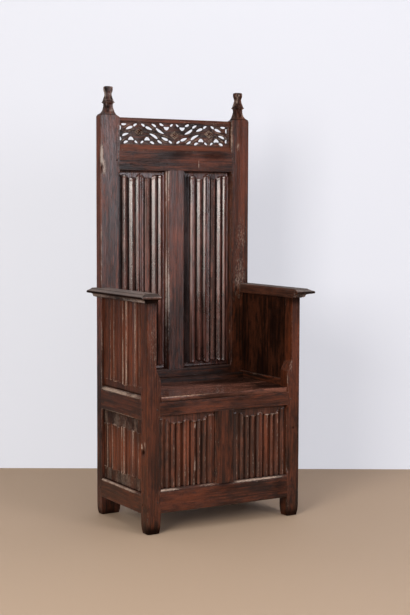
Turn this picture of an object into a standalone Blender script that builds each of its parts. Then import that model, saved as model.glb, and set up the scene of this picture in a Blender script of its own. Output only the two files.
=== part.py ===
"""Joined oak high-back armchair with linenfold panels and a hinged box seat.

Metres, +Z up. The chair faces -Y and stands on z = 0, with the origin under the middle
of its overall box. Left and right are as seen from the front, so left is -X.
"""

import math

import bmesh
import bpy
from mathutils import Matrix, Vector

# Clearances
FIT = 0.0003
LID_SIDE_GAP = 0.0015
LID_REAR_GAP = 0.0008

# Overall frame
FRAME_WIDTH = 0.660
FRAME_DEPTH = 0.417

# Posts
REAR_POST_WIDTH = 0.082
REAR_POST_DEPTH = 0.042
REAR_POST_HEIGHT = 1.524
FINIAL_HEIGHT = 0.116
FINIAL_NECK_WIDTH = 0.027
FINIAL_COLLAR_WIDTH = 0.039
FINIAL_BUD_WIDTH = 0.028
FINIAL_DEPTH = 0.028
FINIAL_CORNER = 0.006
FRONT_POST_WIDTH = 0.056
FRONT_POST_DEPTH = 0.052
UPPER_POST_WIDTH = 0.038
POST_SHOULDER_Z = 0.563
POST_SHOULDER_RISE = 0.037
FOOT_CHAMFER = 0.005
FOOT_CHAMFER_HEIGHT = 0.014
POST_ARRIS = 0.002

# Arms
ARM_UNDERSIDE_Z = 0.840
ARM_THICKNESS = 0.037
ARM_SIDE_OVERHANG = 0.042
ARM_FRONT_OVERHANG = 0.038
ARM_BEVEL = 0.025
ARM_ARRIS = 0.004
ARM_ARRIS_DROP = 0.012
ARM_FILLET = 0.006
ARM_FILLET_SET = 0.010
ARM_POST_TENON_WIDTH = 0.020
ARM_POST_TENON_DEPTH = 0.026
ARM_POST_TENON_HEIGHT = 0.022
ARM_REAR_TENON_WIDTH = 0.018
ARM_REAR_TENON_HEIGHT = 0.016
ARM_REAR_TENON_LENGTH = 0.020

# Frame members
FRAME_THICKNESS = 0.034
BACK_FRAME_THICKNESS = 0.040
SIDE_RAIL_PROUD = 0.002
MUNTIN_WIDTH = 0.083
MUNTIN_MOULDING = 0.010
RAIL_CHAMFER = 0.004

# Tenons and pegs
TENON_THICKNESS = 0.012
TENON_LENGTH = 0.028
TENON_SET = 0.007
TENON_SHOULDER = 0.012
SIDE_TENON_SET = 0.013
SIDE_TENON_LENGTH = 0.021
MUNTIN_TENON_LENGTH = 0.020
MUNTIN_TENON_SHOULDER = 0.016
PEG_RADIUS = 0.004
PEG_LENGTH = 0.030
PEG_SIDES = 8

# Panels
FRONT_PANEL_RECESS = 0.014
BACK_PANEL_RECESS = 0.020
SIDE_PANEL_RECESS = 0.010
PANEL_GROUND = 0.008
FOLD_HEIGHT = 0.007
PANEL_TONGUE = 0.008
FOLD_VALLEY = 0.0045
FOLD_STEPS = 4
FOLD_END_STEP = 0.008
FOLD_TIP = 0.009
FOLD_SIDE_MARGIN = 0.004
BACK_FOLD_BOTTOM = 0.026
BACK_FOLD_TOP = 0.022
FRONT_FOLD_BOTTOM = 0.020
FRONT_FOLD_TOP = 0.026
SIDE_UPPER_FOLD_BOTTOM = 0.026
SIDE_UPPER_FOLD_TOP = 0.022
SIDE_LOWER_FOLD_BOTTOM = 0.046
SIDE_LOWER_FOLD_TOP = 0.052

# Levels of the front
FRONT_BOTTOM_RAIL_Z = 0.075
FRONT_BOTTOM_RAIL_HEIGHT = 0.088
FRONT_SEAT_RAIL_Z = 0.431
FRONT_SEAT_RAIL_HEIGHT = 0.051

# Levels of the sides
SIDE_BOTTOM_RAIL_Z = 0.070
SIDE_BOTTOM_RAIL_HEIGHT = 0.074
SIDE_MID_RAIL_Z = 0.413
SIDE_MID_RAIL_HEIGHT = 0.082
SIDE_SILL_RISE = 0.010
SIDE_RAIL_INNER_RISE = 0.030

# Levels of the back
BACK_BOTTOM_RAIL_Z = 0.070
BACK_BOTTOM_RAIL_HEIGHT = 0.074
BACK_SEAT_RAIL_Z = 0.470
BACK_SEAT_RAIL_HEIGHT = 0.079
BACK_TOP_RAIL_HEIGHT = 0.077
BACK_SILL_RISE = 0.025

# Pierced frieze
FRIEZE_HEIGHT = 0.099
FRIEZE_RECESS = 0.014
FRIEZE_THICKNESS = 0.014
FRIEZE_TONGUE = 0.008
FRIEZE_BORDER = 0.016
FRIEZE_UNITS = 3
FRIEZE_END_MARGIN = 0.0155
ROSETTE_HALF = 0.017
ROSETTE_RELIEF = 0.004
OPENING_POINTS = 12
TRACERY_DRAWN_PITCH = 0.155
TRACERY_DRAWN_HEIGHT = 0.083

# Seat
LID_THICKNESS = 0.018
LID_NOSE_RADIUS = 0.007
LID_FRONT_SET = 0.001
LID_FRONT_BOARD = 0.172
LID_BATTEN_WIDTH = 0.045
LID_BATTEN_DEPTH = 0.018
LID_BATTEN_INSET = 0.090
LID_BATTEN_MARGIN = 0.016
SEAT_STRIP_DEPTH = 0.035
SEAT_STRIP_HEIGHT = 0.036
SEAT_STRIP_LEAN = 0.006
PIN_RADIUS = 0.004
PIN_IN_RAIL = 0.016
PIN_IN_LID = 0.030
PIN_SIDES = 16
CLEAT_WIDTH = 0.020
CLEAT_HEIGHT = 0.028

# Chest floor
FLOOR_Z = 0.112
FLOOR_THICKNESS = 0.014
FLOOR_BOARDS = 3
FLOOR_CLEAT_HEIGHT = 0.022

# Places worked out from the sizes above
HALF_WIDTH = FRAME_WIDTH / 2
SIDE_RAIL_THICKNESS = UPPER_POST_WIDTH + SIDE_RAIL_PROUD
FRONT_Y = (ARM_FRONT_OVERHANG - FRAME_DEPTH) / 2
REAR_Y = FRONT_Y + FRAME_DEPTH
BACK_Y = REAR_Y - REAR_POST_DEPTH
FRONT_POST_REAR_Y = FRONT_Y + FRONT_POST_DEPTH
FRONT_POST_INNER = HALF_WIDTH - FRONT_POST_WIDTH
REAR_POST_INNER = HALF_WIDTH - REAR_POST_WIDTH
FRONT_GROOVE_SET = FRONT_PANEL_RECESS + FOLD_HEIGHT
BACK_GROOVE_SET = BACK_PANEL_RECESS + FOLD_HEIGHT
SIDE_GROOVE_SET = SIDE_PANEL_RECESS + FOLD_HEIGHT
FRONT_BOTTOM_RAIL_TOP = FRONT_BOTTOM_RAIL_Z + FRONT_BOTTOM_RAIL_HEIGHT
LID_UNDERSIDE_Z = FRONT_SEAT_RAIL_Z + FRONT_SEAT_RAIL_HEIGHT + FIT
LID_TOP_Z = LID_UNDERSIDE_Z + LID_THICKNESS
SIDE_BOTTOM_RAIL_TOP = SIDE_BOTTOM_RAIL_Z + SIDE_BOTTOM_RAIL_HEIGHT
SIDE_SILL_Z = SIDE_MID_RAIL_Z + SIDE_MID_RAIL_HEIGHT
SIDE_LIP_Z = SIDE_SILL_Z + SIDE_SILL_RISE
SIDE_INNER_TOP_Z = SIDE_SILL_Z + SIDE_RAIL_INNER_RISE
BACK_BOTTOM_RAIL_TOP = BACK_BOTTOM_RAIL_Z + BACK_BOTTOM_RAIL_HEIGHT
BACK_SEAT_RAIL_TOP = BACK_SEAT_RAIL_Z + BACK_SEAT_RAIL_HEIGHT
BACK_LIP_Z = REAR_POST_HEIGHT - FRIEZE_HEIGHT
BACK_TOP_RAIL_TOP = BACK_LIP_Z - BACK_SILL_RISE
BACK_TOP_RAIL_Z = BACK_TOP_RAIL_TOP - BACK_TOP_RAIL_HEIGHT
CHEST_HALF = HALF_WIDTH - SIDE_RAIL_THICKNESS
SEAT_STRIP_FRONT_Y = BACK_Y - FIT - SEAT_STRIP_DEPTH
HINGE_Y = SEAT_STRIP_FRONT_Y - LID_REAR_GAP - LID_THICKNESS / 2
HINGE_Z = LID_UNDERSIDE_Z + LID_THICKNESS / 2
LID_FRONT_Y = FRONT_Y + LID_FRONT_SET
LID_SPLIT_Y = LID_FRONT_Y + LID_FRONT_BOARD
FLOOR_TOP_Z = FLOOR_Z + FLOOR_THICKNESS

for old in list(bpy.data.objects):
    bpy.data.objects.remove(old, do_unlink=True)

PARTS = bpy.data.collections.new("high_back_chair")
CUTTERS = bpy.data.collections.new("cutters")
bpy.context.scene.collection.children.link(PARTS)
bpy.context.scene.collection.children.link(CUTTERS)

# Axes of a flat outline: its own x, its own y and its thickness, as world axes
OUTLINE_FRAMES = {
    "X": Matrix(((0, 0, 1), (1, 0, 0), (0, 1, 0))).to_4x4(),
    "Y": Matrix(((1, 0, 0), (0, 0, -1), (0, 1, 0))).to_4x4(),
    "Z": Matrix.Identity(4),
}


def make_material(name, colour, roughness, metallic=0.0):
    material = bpy.data.materials.new(name)
    material.use_nodes = True
    shader = material.node_tree.nodes["Principled BSDF"]
    shader.inputs["Base Color"].default_value = (*colour, 1.0)
    shader.inputs["Roughness"].default_value = roughness
    shader.inputs["Metallic"].default_value = metallic
    return material


MATERIALS = {
    "frame": make_material("aged_oak_frame", (0.075, 0.032, 0.018), 0.42),
    "panel": make_material("aged_oak_panel", (0.060, 0.026, 0.016), 0.48),
    "seat": make_material("aged_oak_seat", (0.085, 0.038, 0.020), 0.32),
    "inside": make_material("bare_oak_inside", (0.160, 0.095, 0.050), 0.65),
    "peg": make_material("oak_peg", (0.050, 0.024, 0.014), 0.50),
    "iron": make_material("wrought_iron", (0.045, 0.043, 0.042), 0.55, 1.0),
}


def add_object(name, mesh, collection, material=None):
    obj = bpy.data.objects.new(name, mesh)
    collection.objects.link(obj)
    if material:
        mesh.materials.append(MATERIALS[material])
    return obj


def as_cutter(obj):
    """Keep an object as a tool for Booleans only."""
    for collection in list(obj.users_collection):
        collection.objects.unlink(obj)
    CUTTERS.objects.link(obj)
    obj.hide_render = True
    obj.display_type = "WIRE"
    return obj


def box(name, low, high, material=None):
    """A box between two corners, with its origin at its middle."""
    low = Vector(low)
    high = Vector(high)
    bm = bmesh.new()
    bmesh.ops.create_cube(bm, size=1.0)
    bmesh.ops.scale(bm, vec=high - low, verts=bm.verts)
    mesh = bpy.data.meshes.new(name)
    bm.to_mesh(mesh)
    bm.free()
    obj = add_object(name, mesh, PARTS, material)
    obj.location = (low + high) / 2
    return obj


def prism(name, outline, axis, start, end, material=None):
    """A flat outline, drawn as a filled 2D curve and given thickness along one world axis.

    The outline is in (y, z) for axis X, in (x, z) for axis Y and in (x, y) for axis Z.
    """
    curve = bpy.data.curves.new(name, "CURVE")
    curve.dimensions = "2D"
    curve.fill_mode = "BOTH"
    curve.extrude = abs(end - start) / 2
    spline = curve.splines.new("POLY")
    spline.points.add(len(outline) - 1)
    for point, (u, v) in zip(spline.points, outline):
        point.co = (u, v, 0.0, 1.0)
    spline.use_cyclic_u = True
    drawn = bpy.data.objects.new(name + "_outline", curve)
    PARTS.objects.link(drawn)
    middle = Vector((0.0, 0.0, 0.0))
    middle["XYZ".index(axis)] = (start + end) / 2
    drawn.matrix_world = Matrix.Translation(middle) @ OUTLINE_FRAMES[axis]
    bpy.context.view_layer.update()
    evaluated = drawn.evaluated_get(bpy.context.evaluated_depsgraph_get())
    mesh = bpy.data.meshes.new_from_object(evaluated)
    bm = bmesh.new()
    bm.from_mesh(mesh)
    bmesh.ops.remove_doubles(bm, verts=bm.verts, dist=0.00001)
    bmesh.ops.dissolve_limit(bm, angle_limit=0.001, verts=bm.verts, edges=bm.edges)
    bmesh.ops.recalc_face_normals(bm, faces=bm.faces)
    bm.to_mesh(mesh)
    bm.free()
    mesh.name = name
    mesh.materials.clear()
    obj = add_object(name, mesh, PARTS, material)
    obj.matrix_world = drawn.matrix_world.copy()
    bpy.data.objects.remove(drawn, do_unlink=True)
    bpy.data.curves.remove(curve)
    return obj


def rod(name, place, axis, radius, length, sides, material=None):
    """A round rod that starts at a place and runs along an axis."""
    turn = Vector((0.0, 0.0, 1.0)).rotation_difference(Vector(axis)).to_matrix().to_4x4()
    bm = bmesh.new()
    bmesh.ops.create_cone(
        bm, cap_ends=True, segments=sides, radius1=radius, radius2=radius, depth=length)
    mesh = bpy.data.meshes.new(name)
    bm.to_mesh(mesh)
    bm.free()
    obj = add_object(name, mesh, PARTS, material)
    obj.matrix_world = Matrix.Translation(Vector(place) + Vector(axis) * (length / 2)) @ turn
    return obj


def boolean(obj, tool, operation, solver="EXACT"):
    """Boolean with a tool; MANIFOLD suits end faces whose corners lie in one line."""
    modifier = obj.modifiers.new(tool.name, "BOOLEAN")
    modifier.operation = operation
    modifier.solver = solver
    modifier.object = as_cutter(tool)


def cut(obj, tool, solver="EXACT"):
    boolean(obj, tool, "DIFFERENCE", solver)


def join(obj, tool, solver="EXACT"):
    boolean(obj, tool, "UNION", solver)


def cut_box(obj, name, low, high):
    cut(obj, box(obj.name + "_" + name, low, high))


def mortise(obj, name, low, high):
    """A pocket for a tenon of the given size, one clearance larger all round."""
    gap = Vector((FIT, FIT, FIT))
    cut_box(obj, name, Vector(low) - gap, Vector(high) + gap)


def sided(side, low, high):
    """Corners of a box that is given for the right side, moved to the asked side."""
    if side > 0:
        return low, high
    return (-high[0], low[1], low[2]), (-low[0], high[1], high[2])


def rail_outline(depth_sign, face, levels, thickness, groove_low=None, groove_high=None):
    """Section of a rail: (depth from the face, z) points with grooves in its edges.

    levels holds the bottom, the top of the face, the top of the lip and the top of the back.
    A groove is (set back from the face, thickness of what it holds, depth of the tongue).
    """
    bottom, face_top, lip_top, back_top = levels
    points = [(0.0, bottom), (0.0, face_top)]
    if groove_high:
        start, width, tongue = groove_high
        floor = lip_top - tongue - FIT
        points += [
            (start - FIT, lip_top), (start - FIT, floor),
            (start + width + FIT, floor), (start + width + FIT, back_top),
        ]
    else:
        points.append((RAIL_CHAMFER, lip_top))
    points += [(thickness, back_top), (thickness, bottom)]
    if groove_low:
        start, width, tongue = groove_low
        points += [
            (start + width + FIT, bottom), (start + width + FIT, bottom + tongue + FIT),
            (start - FIT, bottom + tongue + FIT), (start - FIT, bottom),
        ]
    return [(face + depth_sign * depth, z) for depth, z in points]


def cross_rail(name, face_y, thickness, half_length, levels, groove_low=None, groove_high=None):
    """A rail of the front or the back, with a tenon at each end."""
    outline = rail_outline(1, face_y, levels, thickness, groove_low, groove_high)
    rail = prism(name, outline, "X", -half_length + FIT, half_length - FIT, "frame")
    low, high = cross_tenon(face_y, half_length, levels)
    join(rail, box(name + "_tenons", low, high))
    return rail


def cross_tenon(face_y, half_length, levels):
    """Corners of the tongue that makes both tenons of a cross rail."""
    bottom, face_top, _, _ = levels
    reach = half_length + TENON_LENGTH
    low = (-reach, face_y + TENON_SET, bottom + TENON_SHOULDER)
    high = (reach, face_y + TENON_SET + TENON_THICKNESS, face_top - TENON_SHOULDER)
    return low, high


FRONT_GROOVE = (FRONT_GROOVE_SET, PANEL_GROUND, PANEL_TONGUE)
BACK_GROOVE = (BACK_GROOVE_SET, PANEL_GROUND, PANEL_TONGUE)
SIDE_GROOVE = (SIDE_GROOVE_SET, PANEL_GROUND, PANEL_TONGUE)
FRIEZE_GROOVE = (FRIEZE_RECESS, FRIEZE_THICKNESS, FRIEZE_TONGUE)


def plain_levels(bottom, height):
    top = bottom + height
    return bottom, top - RAIL_CHAMFER, top, top


FRONT_SEAT_LEVELS = plain_levels(FRONT_SEAT_RAIL_Z, FRONT_SEAT_RAIL_HEIGHT)
FRONT_BOTTOM_LEVELS = plain_levels(FRONT_BOTTOM_RAIL_Z, FRONT_BOTTOM_RAIL_HEIGHT)
BACK_SEAT_LEVELS = plain_levels(BACK_SEAT_RAIL_Z, BACK_SEAT_RAIL_HEIGHT)
BACK_BOTTOM_LEVELS = plain_levels(BACK_BOTTOM_RAIL_Z, BACK_BOTTOM_RAIL_HEIGHT)
BACK_TOP_LEVELS = (BACK_TOP_RAIL_Z, BACK_TOP_RAIL_TOP, BACK_LIP_Z, BACK_LIP_Z)
SIDE_BOTTOM_LEVELS = plain_levels(SIDE_BOTTOM_RAIL_Z, SIDE_BOTTOM_RAIL_HEIGHT)
SIDE_MID_LEVELS = (SIDE_MID_RAIL_Z, SIDE_SILL_Z, SIDE_LIP_Z, SIDE_INNER_TOP_Z)


def side_tenon(levels):
    """Corners of the tongue that makes both tenons of the right side's rail."""
    bottom, face_top, _, _ = levels
    outer = HALF_WIDTH - SIDE_TENON_SET
    low = (outer - TENON_THICKNESS, FRONT_POST_REAR_Y - SIDE_TENON_LENGTH, bottom + TENON_SHOULDER)
    high = (outer, BACK_Y + SIDE_TENON_LENGTH, face_top - TENON_SHOULDER)
    return low, high


def loft(name, rings, material=None):
    """A solid through rings of equally many points, each (x, y, z), from bottom to top."""
    bm = bmesh.new()
    rows = [[bm.verts.new(point) for point in ring] for ring in rings]
    for lower, upper in zip(rows, rows[1:]):
        for i in range(len(lower)):
            j = (i + 1) % len(lower)
            bm.faces.new((lower[i], lower[j], upper[j], upper[i]))
    bm.faces.new(list(reversed(rows[0])))
    bm.faces.new(rows[-1])
    bmesh.ops.recalc_face_normals(bm, faces=bm.faces)
    mesh = bpy.data.meshes.new(name)
    bm.to_mesh(mesh)
    bm.free()
    return add_object(name, mesh, PARTS, material)


def cut_corner_ring(x, y, z, width, depth, corner):
    """A rectangle with cut corners, as eight points."""
    a = width / 2
    b = depth / 2
    flat = [
        (a - corner, -b), (a, corner - b), (a, b - corner), (a - corner, b),
        (corner - a, b), (-a, b - corner), (-a, corner - b), (corner - a, -b),
    ]
    return [(x + px, y + py, z) for px, py in flat]


# Finial sections above the shoulder: share of its height, width, depth and cut corner
FINIAL_STATIONS = (
    (0.000, REAR_POST_WIDTH, REAR_POST_DEPTH, 0.5 * FINIAL_CORNER),
    (0.090, 0.57 * REAR_POST_WIDTH, 0.80 * REAR_POST_DEPTH, 0.8 * FINIAL_CORNER),
    (0.190, 1.26 * FINIAL_NECK_WIDTH, FINIAL_DEPTH, FINIAL_CORNER),
    (0.330, FINIAL_NECK_WIDTH, 0.86 * FINIAL_DEPTH, FINIAL_CORNER),
    (0.420, 1.07 * FINIAL_NECK_WIDTH, 0.90 * FINIAL_DEPTH, FINIAL_CORNER),
    (0.450, 0.96 * FINIAL_COLLAR_WIDTH, 1.10 * FINIAL_DEPTH, 1.2 * FINIAL_CORNER),
    (0.480, FINIAL_COLLAR_WIDTH, 1.14 * FINIAL_DEPTH, 1.3 * FINIAL_CORNER),
    (0.540, 0.82 * FINIAL_COLLAR_WIDTH, 0.96 * FINIAL_DEPTH, 1.2 * FINIAL_CORNER),
    (0.640, 0.64 * FINIAL_COLLAR_WIDTH, 0.76 * FINIAL_DEPTH, FINIAL_CORNER),
    (0.750, 0.73 * FINIAL_NECK_WIDTH, 0.63 * FINIAL_DEPTH, 0.8 * FINIAL_CORNER),
    (0.800, 0.93 * FINIAL_BUD_WIDTH, 0.80 * FINIAL_DEPTH, FINIAL_CORNER),
    (0.900, FINIAL_BUD_WIDTH, 0.86 * FINIAL_DEPTH, FINIAL_CORNER),
    (1.000, 0.79 * FINIAL_BUD_WIDTH, 0.68 * FINIAL_DEPTH, 0.9 * FINIAL_CORNER),
)


def rear_post(name, side):
    """A back post with its carved finial, mortised for rails and grooved for panels."""
    x = side * (HALF_WIDTH - REAR_POST_WIDTH / 2)
    y = REAR_Y - REAR_POST_DEPTH / 2
    foot_width = REAR_POST_WIDTH - 2 * FOOT_CHAMFER
    foot_depth = REAR_POST_DEPTH - 2 * FOOT_CHAMFER
    rings = [cut_corner_ring(x, y, 0.0, foot_width, foot_depth, POST_ARRIS)]
    rings.append(cut_corner_ring(x, y, FOOT_CHAMFER_HEIGHT, REAR_POST_WIDTH, REAR_POST_DEPTH, POST_ARRIS))
    for share, width, depth, corner in FINIAL_STATIONS:
        z = REAR_POST_HEIGHT + share * FINIAL_HEIGHT
        rings.append(cut_corner_ring(x, y, z, width, depth, corner))
    post = loft(name, rings, "frame")
    for label, levels in (
        ("top_rail", BACK_TOP_LEVELS), ("seat_rail", BACK_SEAT_LEVELS), ("bottom_rail", BACK_BOTTOM_LEVELS),
    ):
        low, high = cross_tenon(BACK_Y, REAR_POST_INNER, levels)
        mortise(post, label, *sided(side, (REAR_POST_INNER - FIT, low[1], low[2]), high))
    for label, levels in (("side_mid_rail", SIDE_MID_LEVELS), ("side_bottom_rail", SIDE_BOTTOM_LEVELS)):
        low, high = side_tenon(levels)
        mortise(post, label, *sided(side, (low[0], BACK_Y - FIT, low[2]), high))
    mortise(post, "arm", *sided(side, *arm_rear_tenon()))
    plane = BACK_Y + BACK_GROOVE_SET
    inner_groove(post, side, REAR_POST_INNER, plane, "panel", BACK_SEAT_RAIL_TOP, BACK_TOP_RAIL_Z)
    inner_groove(post, side, REAR_POST_INNER, plane, "lower_panel", BACK_BOTTOM_RAIL_TOP, BACK_SEAT_RAIL_Z)
    mortise(post, "frieze", *sided(side, *frieze_tongue()))
    side_groove(post, side, BACK_Y, 1, "upper", SIDE_LIP_Z, ARM_UNDERSIDE_Z)
    side_groove(post, side, BACK_Y, 1, "lower", SIDE_BOTTOM_RAIL_TOP, SIDE_MID_RAIL_Z)
    return post


def inner_groove(post, side, inner, plane, label, bottom, top):
    """A groove in the inner side of a post, for a panel whose ground lies in the given plane."""
    low = (inner - FIT, plane, bottom - PANEL_TONGUE)
    high = (inner + PANEL_TONGUE, plane + PANEL_GROUND, top + PANEL_TONGUE)
    mortise(post, label + "_groove", *sided(side, low, high))


def side_groove(post, side, face_y, inward, label, bottom, top):
    """A groove in the front or rear side of a post, for a side panel."""
    outer = HALF_WIDTH - SIDE_GROOVE_SET
    near, far = sorted((face_y - inward * FIT, face_y + inward * PANEL_TONGUE))
    low = (outer - PANEL_GROUND, near, bottom - PANEL_TONGUE)
    high = (outer, far, top + PANEL_TONGUE)
    mortise(post, label + "_side_groove", *sided(side, low, high))


def arm_post_tenon():
    """Corners of the right front post's tenon into the arm."""
    x = HALF_WIDTH - UPPER_POST_WIDTH / 2
    y = FRONT_Y + FRONT_POST_DEPTH / 2
    low = (x - ARM_POST_TENON_WIDTH / 2, y - ARM_POST_TENON_DEPTH / 2, ARM_UNDERSIDE_Z)
    high = (x + ARM_POST_TENON_WIDTH / 2, y + ARM_POST_TENON_DEPTH / 2,
            ARM_UNDERSIDE_Z + ARM_POST_TENON_HEIGHT)
    return low, high


def arm_rear_tenon():
    """Corners of the right arm's stub tenon into the rear post."""
    x = HALF_WIDTH - UPPER_POST_WIDTH / 2
    z = ARM_UNDERSIDE_Z + ARM_THICKNESS / 2
    low = (x - ARM_REAR_TENON_WIDTH / 2, BACK_Y - FIT, z - ARM_REAR_TENON_HEIGHT / 2)
    high = (x + ARM_REAR_TENON_WIDTH / 2, BACK_Y + ARM_REAR_TENON_LENGTH, z + ARM_REAR_TENON_HEIGHT / 2)
    return low, high


def frieze_tongue():
    """Corners of the frieze's right tongue, stopped below the post's shoulder."""
    low = (REAR_POST_INNER - FIT, BACK_Y + FRIEZE_RECESS, BACK_LIP_Z)
    high = (REAR_POST_INNER + FRIEZE_TONGUE, BACK_Y + FRIEZE_RECESS + FRIEZE_THICKNESS,
            REAR_POST_HEIGHT - FRIEZE_BORDER)
    return low, high


def front_post(name, side):
    """A front post, cut back on its inner side above the seat, with a tenon for the arm."""
    outer = HALF_WIDTH
    top = ARM_UNDERSIDE_Z - FIT
    outline = [
        (outer - FOOT_CHAMFER, 0.0), (outer, FOOT_CHAMFER_HEIGHT), (outer, top),
        (outer - UPPER_POST_WIDTH, top),
        (outer - UPPER_POST_WIDTH, POST_SHOULDER_Z + POST_SHOULDER_RISE),
        (FRONT_POST_INNER, POST_SHOULDER_Z), (FRONT_POST_INNER, FOOT_CHAMFER_HEIGHT),
        (FRONT_POST_INNER + FOOT_CHAMFER, 0.0),
    ]
    outline = [(side * x, z) for x, z in outline]
    post = prism(name, outline, "Y", FRONT_Y, FRONT_POST_REAR_Y, "frame")
    low, high = arm_post_tenon()
    root = (low[0], low[1], low[2] - ARM_POST_TENON_HEIGHT)
    join(post, box(name + "_arm_tenon", *sided(side, root, high)))
    for label, levels in (("seat_rail", FRONT_SEAT_LEVELS), ("bottom_rail", FRONT_BOTTOM_LEVELS)):
        low, high = cross_tenon(FRONT_Y, FRONT_POST_INNER, levels)
        mortise(post, label, *sided(side, (FRONT_POST_INNER - FIT, low[1], low[2]), high))
    for label, levels in (("side_mid_rail", SIDE_MID_LEVELS), ("side_bottom_rail", SIDE_BOTTOM_LEVELS)):
        low, high = side_tenon(levels)
        mortise(post, label, *sided(side, low, (high[0], FRONT_POST_REAR_Y + FIT, high[2])))
    plane = FRONT_Y + FRONT_GROOVE_SET
    inner_groove(post, side, FRONT_POST_INNER, plane, "panel", FRONT_BOTTOM_RAIL_TOP, FRONT_SEAT_RAIL_Z)
    side_groove(post, side, FRONT_POST_REAR_Y, -1, "upper", SIDE_LIP_Z, ARM_UNDERSIDE_Z)
    side_groove(post, side, FRONT_POST_REAR_Y, -1, "lower", SIDE_BOTTOM_RAIL_TOP, SIDE_MID_RAIL_Z)
    return post


def hollow(start, end, sag, steps=3):
    """Points of a shallow hollow between two points of an outline, without its ends."""
    start = Vector(start)
    end = Vector(end)
    along = end - start
    inward = Vector((-along.y, along.x)).normalized()
    points = []
    for i in range(1, steps):
        t = i / steps
        point = start + along * t + inward * (sag * math.sin(math.pi * t))
        points.append((point.x, point.y))
    return points


def arm_edge(reach):
    """Moulded edge of an arm from its underside to its top, for an edge at the given reach."""
    arris_high = ARM_UNDERSIDE_Z + ARM_THICKNESS - ARM_ARRIS_DROP
    arris_low = arris_high - ARM_ARRIS
    fillet = (reach - ARM_BEVEL - ARM_FILLET_SET, ARM_UNDERSIDE_Z + ARM_FILLET)
    lower = (reach, arris_low)
    upper = (reach, arris_high)
    crown = (reach - ARM_BEVEL, ARM_UNDERSIDE_Z + ARM_THICKNESS)
    points = [(fillet[0], ARM_UNDERSIDE_Z), fillet]
    points += hollow(fillet, lower, ARM_FILLET / 2)
    points += [lower, upper]
    points += hollow(upper, crown, ARM_FILLET / 3)
    points.append(crown)
    return points


def arm(name, side):
    """An arm whose moulded edge turns the front corner, notched round the rear post."""
    inner = HALF_WIDTH - UPPER_POST_WIDTH
    top = ARM_UNDERSIDE_Z + ARM_THICKNESS
    edge = arm_edge(HALF_WIDTH + ARM_SIDE_OVERHANG)
    across = [(side * x, z) for x, z in edge + [(inner, top), (inner, ARM_UNDERSIDE_Z)]]
    front = FRONT_Y - ARM_FRONT_OVERHANG
    body = prism(name, across, "Y", front - ARM_BEVEL, REAR_Y, "frame")
    along = [(-y, z) for y, z in arm_edge(-front)]
    along += [(REAR_Y + ARM_BEVEL, top), (REAR_Y + ARM_BEVEL, ARM_UNDERSIDE_Z)]
    spread = HALF_WIDTH + ARM_SIDE_OVERHANG + ARM_BEVEL
    run = prism(name + "_front_moulding", along, "X", *sorted((side * (inner - ARM_BEVEL), side * spread)))
    boolean(body, run, "INTERSECT")
    cut_box(body, "post_notch", *sided(
        side, (inner - ARM_BEVEL, BACK_Y - FIT, ARM_UNDERSIDE_Z - ARM_BEVEL),
        (HALF_WIDTH + FIT, REAR_Y + ARM_BEVEL, top + ARM_BEVEL)))
    low, high = arm_rear_tenon()
    root = (low[0], low[1] - ARM_REAR_TENON_LENGTH, low[2])
    join(body, box(name + "_rear_tenon", *sided(side, root, high)))
    low, high = arm_post_tenon()
    mortise(body, "post_mortise", *sided(side, (low[0], low[1], low[2] - FIT), high))
    outer = HALF_WIDTH - SIDE_GROOVE_SET
    low = (outer - PANEL_GROUND, FRONT_POST_REAR_Y - PANEL_TONGUE, ARM_UNDERSIDE_Z - FIT)
    high = (outer, BACK_Y + PANEL_TONGUE, ARM_UNDERSIDE_Z + PANEL_TONGUE)
    mortise(body, "panel_groove", *sided(side, low, high))
    return body


def side_rail(name, side, levels, thickness, groove_low, groove_high):
    """A side rail between the posts, with a tenon at each end."""
    outline = rail_outline(-side, side * HALF_WIDTH, levels, thickness, groove_low, groove_high)
    rail = prism(name, outline, "Y", FRONT_POST_REAR_Y + FIT, BACK_Y - FIT, "frame")
    join(rail, box(name + "_tenons", *sided(side, *side_tenon(levels))))
    return rail


def muntin(name, face_y, thickness, groove_set, bottom, top):
    """The upright between two panels, moulded on both front edges, with stub tenons."""
    half = MUNTIN_WIDTH / 2
    m = MUNTIN_MOULDING
    low_groove = groove_set - FIT
    high_groove = groove_set + PANEL_GROUND + FIT
    right = [
        (half - m, 0.0), (half - 0.85 * m, 0.30 * m), (half - 0.55 * m, 0.40 * m),
        (half - 0.40 * m, 0.75 * m), (half, m), (half, low_groove),
        (half - PANEL_TONGUE - FIT, low_groove), (half - PANEL_TONGUE - FIT, high_groove),
        (half, high_groove), (half, thickness),
    ]
    left = [(-x, d) for x, d in reversed(right)]
    outline = [(x, face_y + d) for x, d in right + left]
    post = prism(name, outline, "Z", bottom + FIT, top - FIT, "frame")
    join(post, box(name + "_tenons", *muntin_tenon(face_y, bottom, top)), "MANIFOLD")
    return post


def muntin_tenon(face_y, bottom, top):
    half = MUNTIN_WIDTH / 2 - MUNTIN_TENON_SHOULDER
    low = (-half, face_y + TENON_SET, bottom - MUNTIN_TENON_LENGTH)
    high = (half, face_y + TENON_SET + TENON_THICKNESS, top + MUNTIN_TENON_LENGTH)
    return low, high


def on_face(face, u, depth):
    """Plan position of a point at u along a face and at a depth behind it."""
    return {
        "front": (u, FRONT_Y + depth),
        "back": (u, BACK_Y + depth),
        "left": (depth - HALF_WIDTH, u),
        "right": (HALF_WIDTH - depth, u),
    }[face]


def fold_section(ridges, half_field, recess):
    """Front of a linenfold panel as (offset, depth) points: sharp ridges, hollows between."""
    ground = recess + FOLD_HEIGHT
    points = [(-half_field, ground)]
    for left, right in zip(ridges, ridges[1:]):
        points.append((left, recess))
        for i in range(1, FOLD_STEPS):
            t = i / FOLD_STEPS
            points.append((left + (right - left) * t, recess + FOLD_VALLEY * math.sin(math.pi * t)))
    points += [(ridges[-1], recess), (half_field, ground)]
    return points


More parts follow.
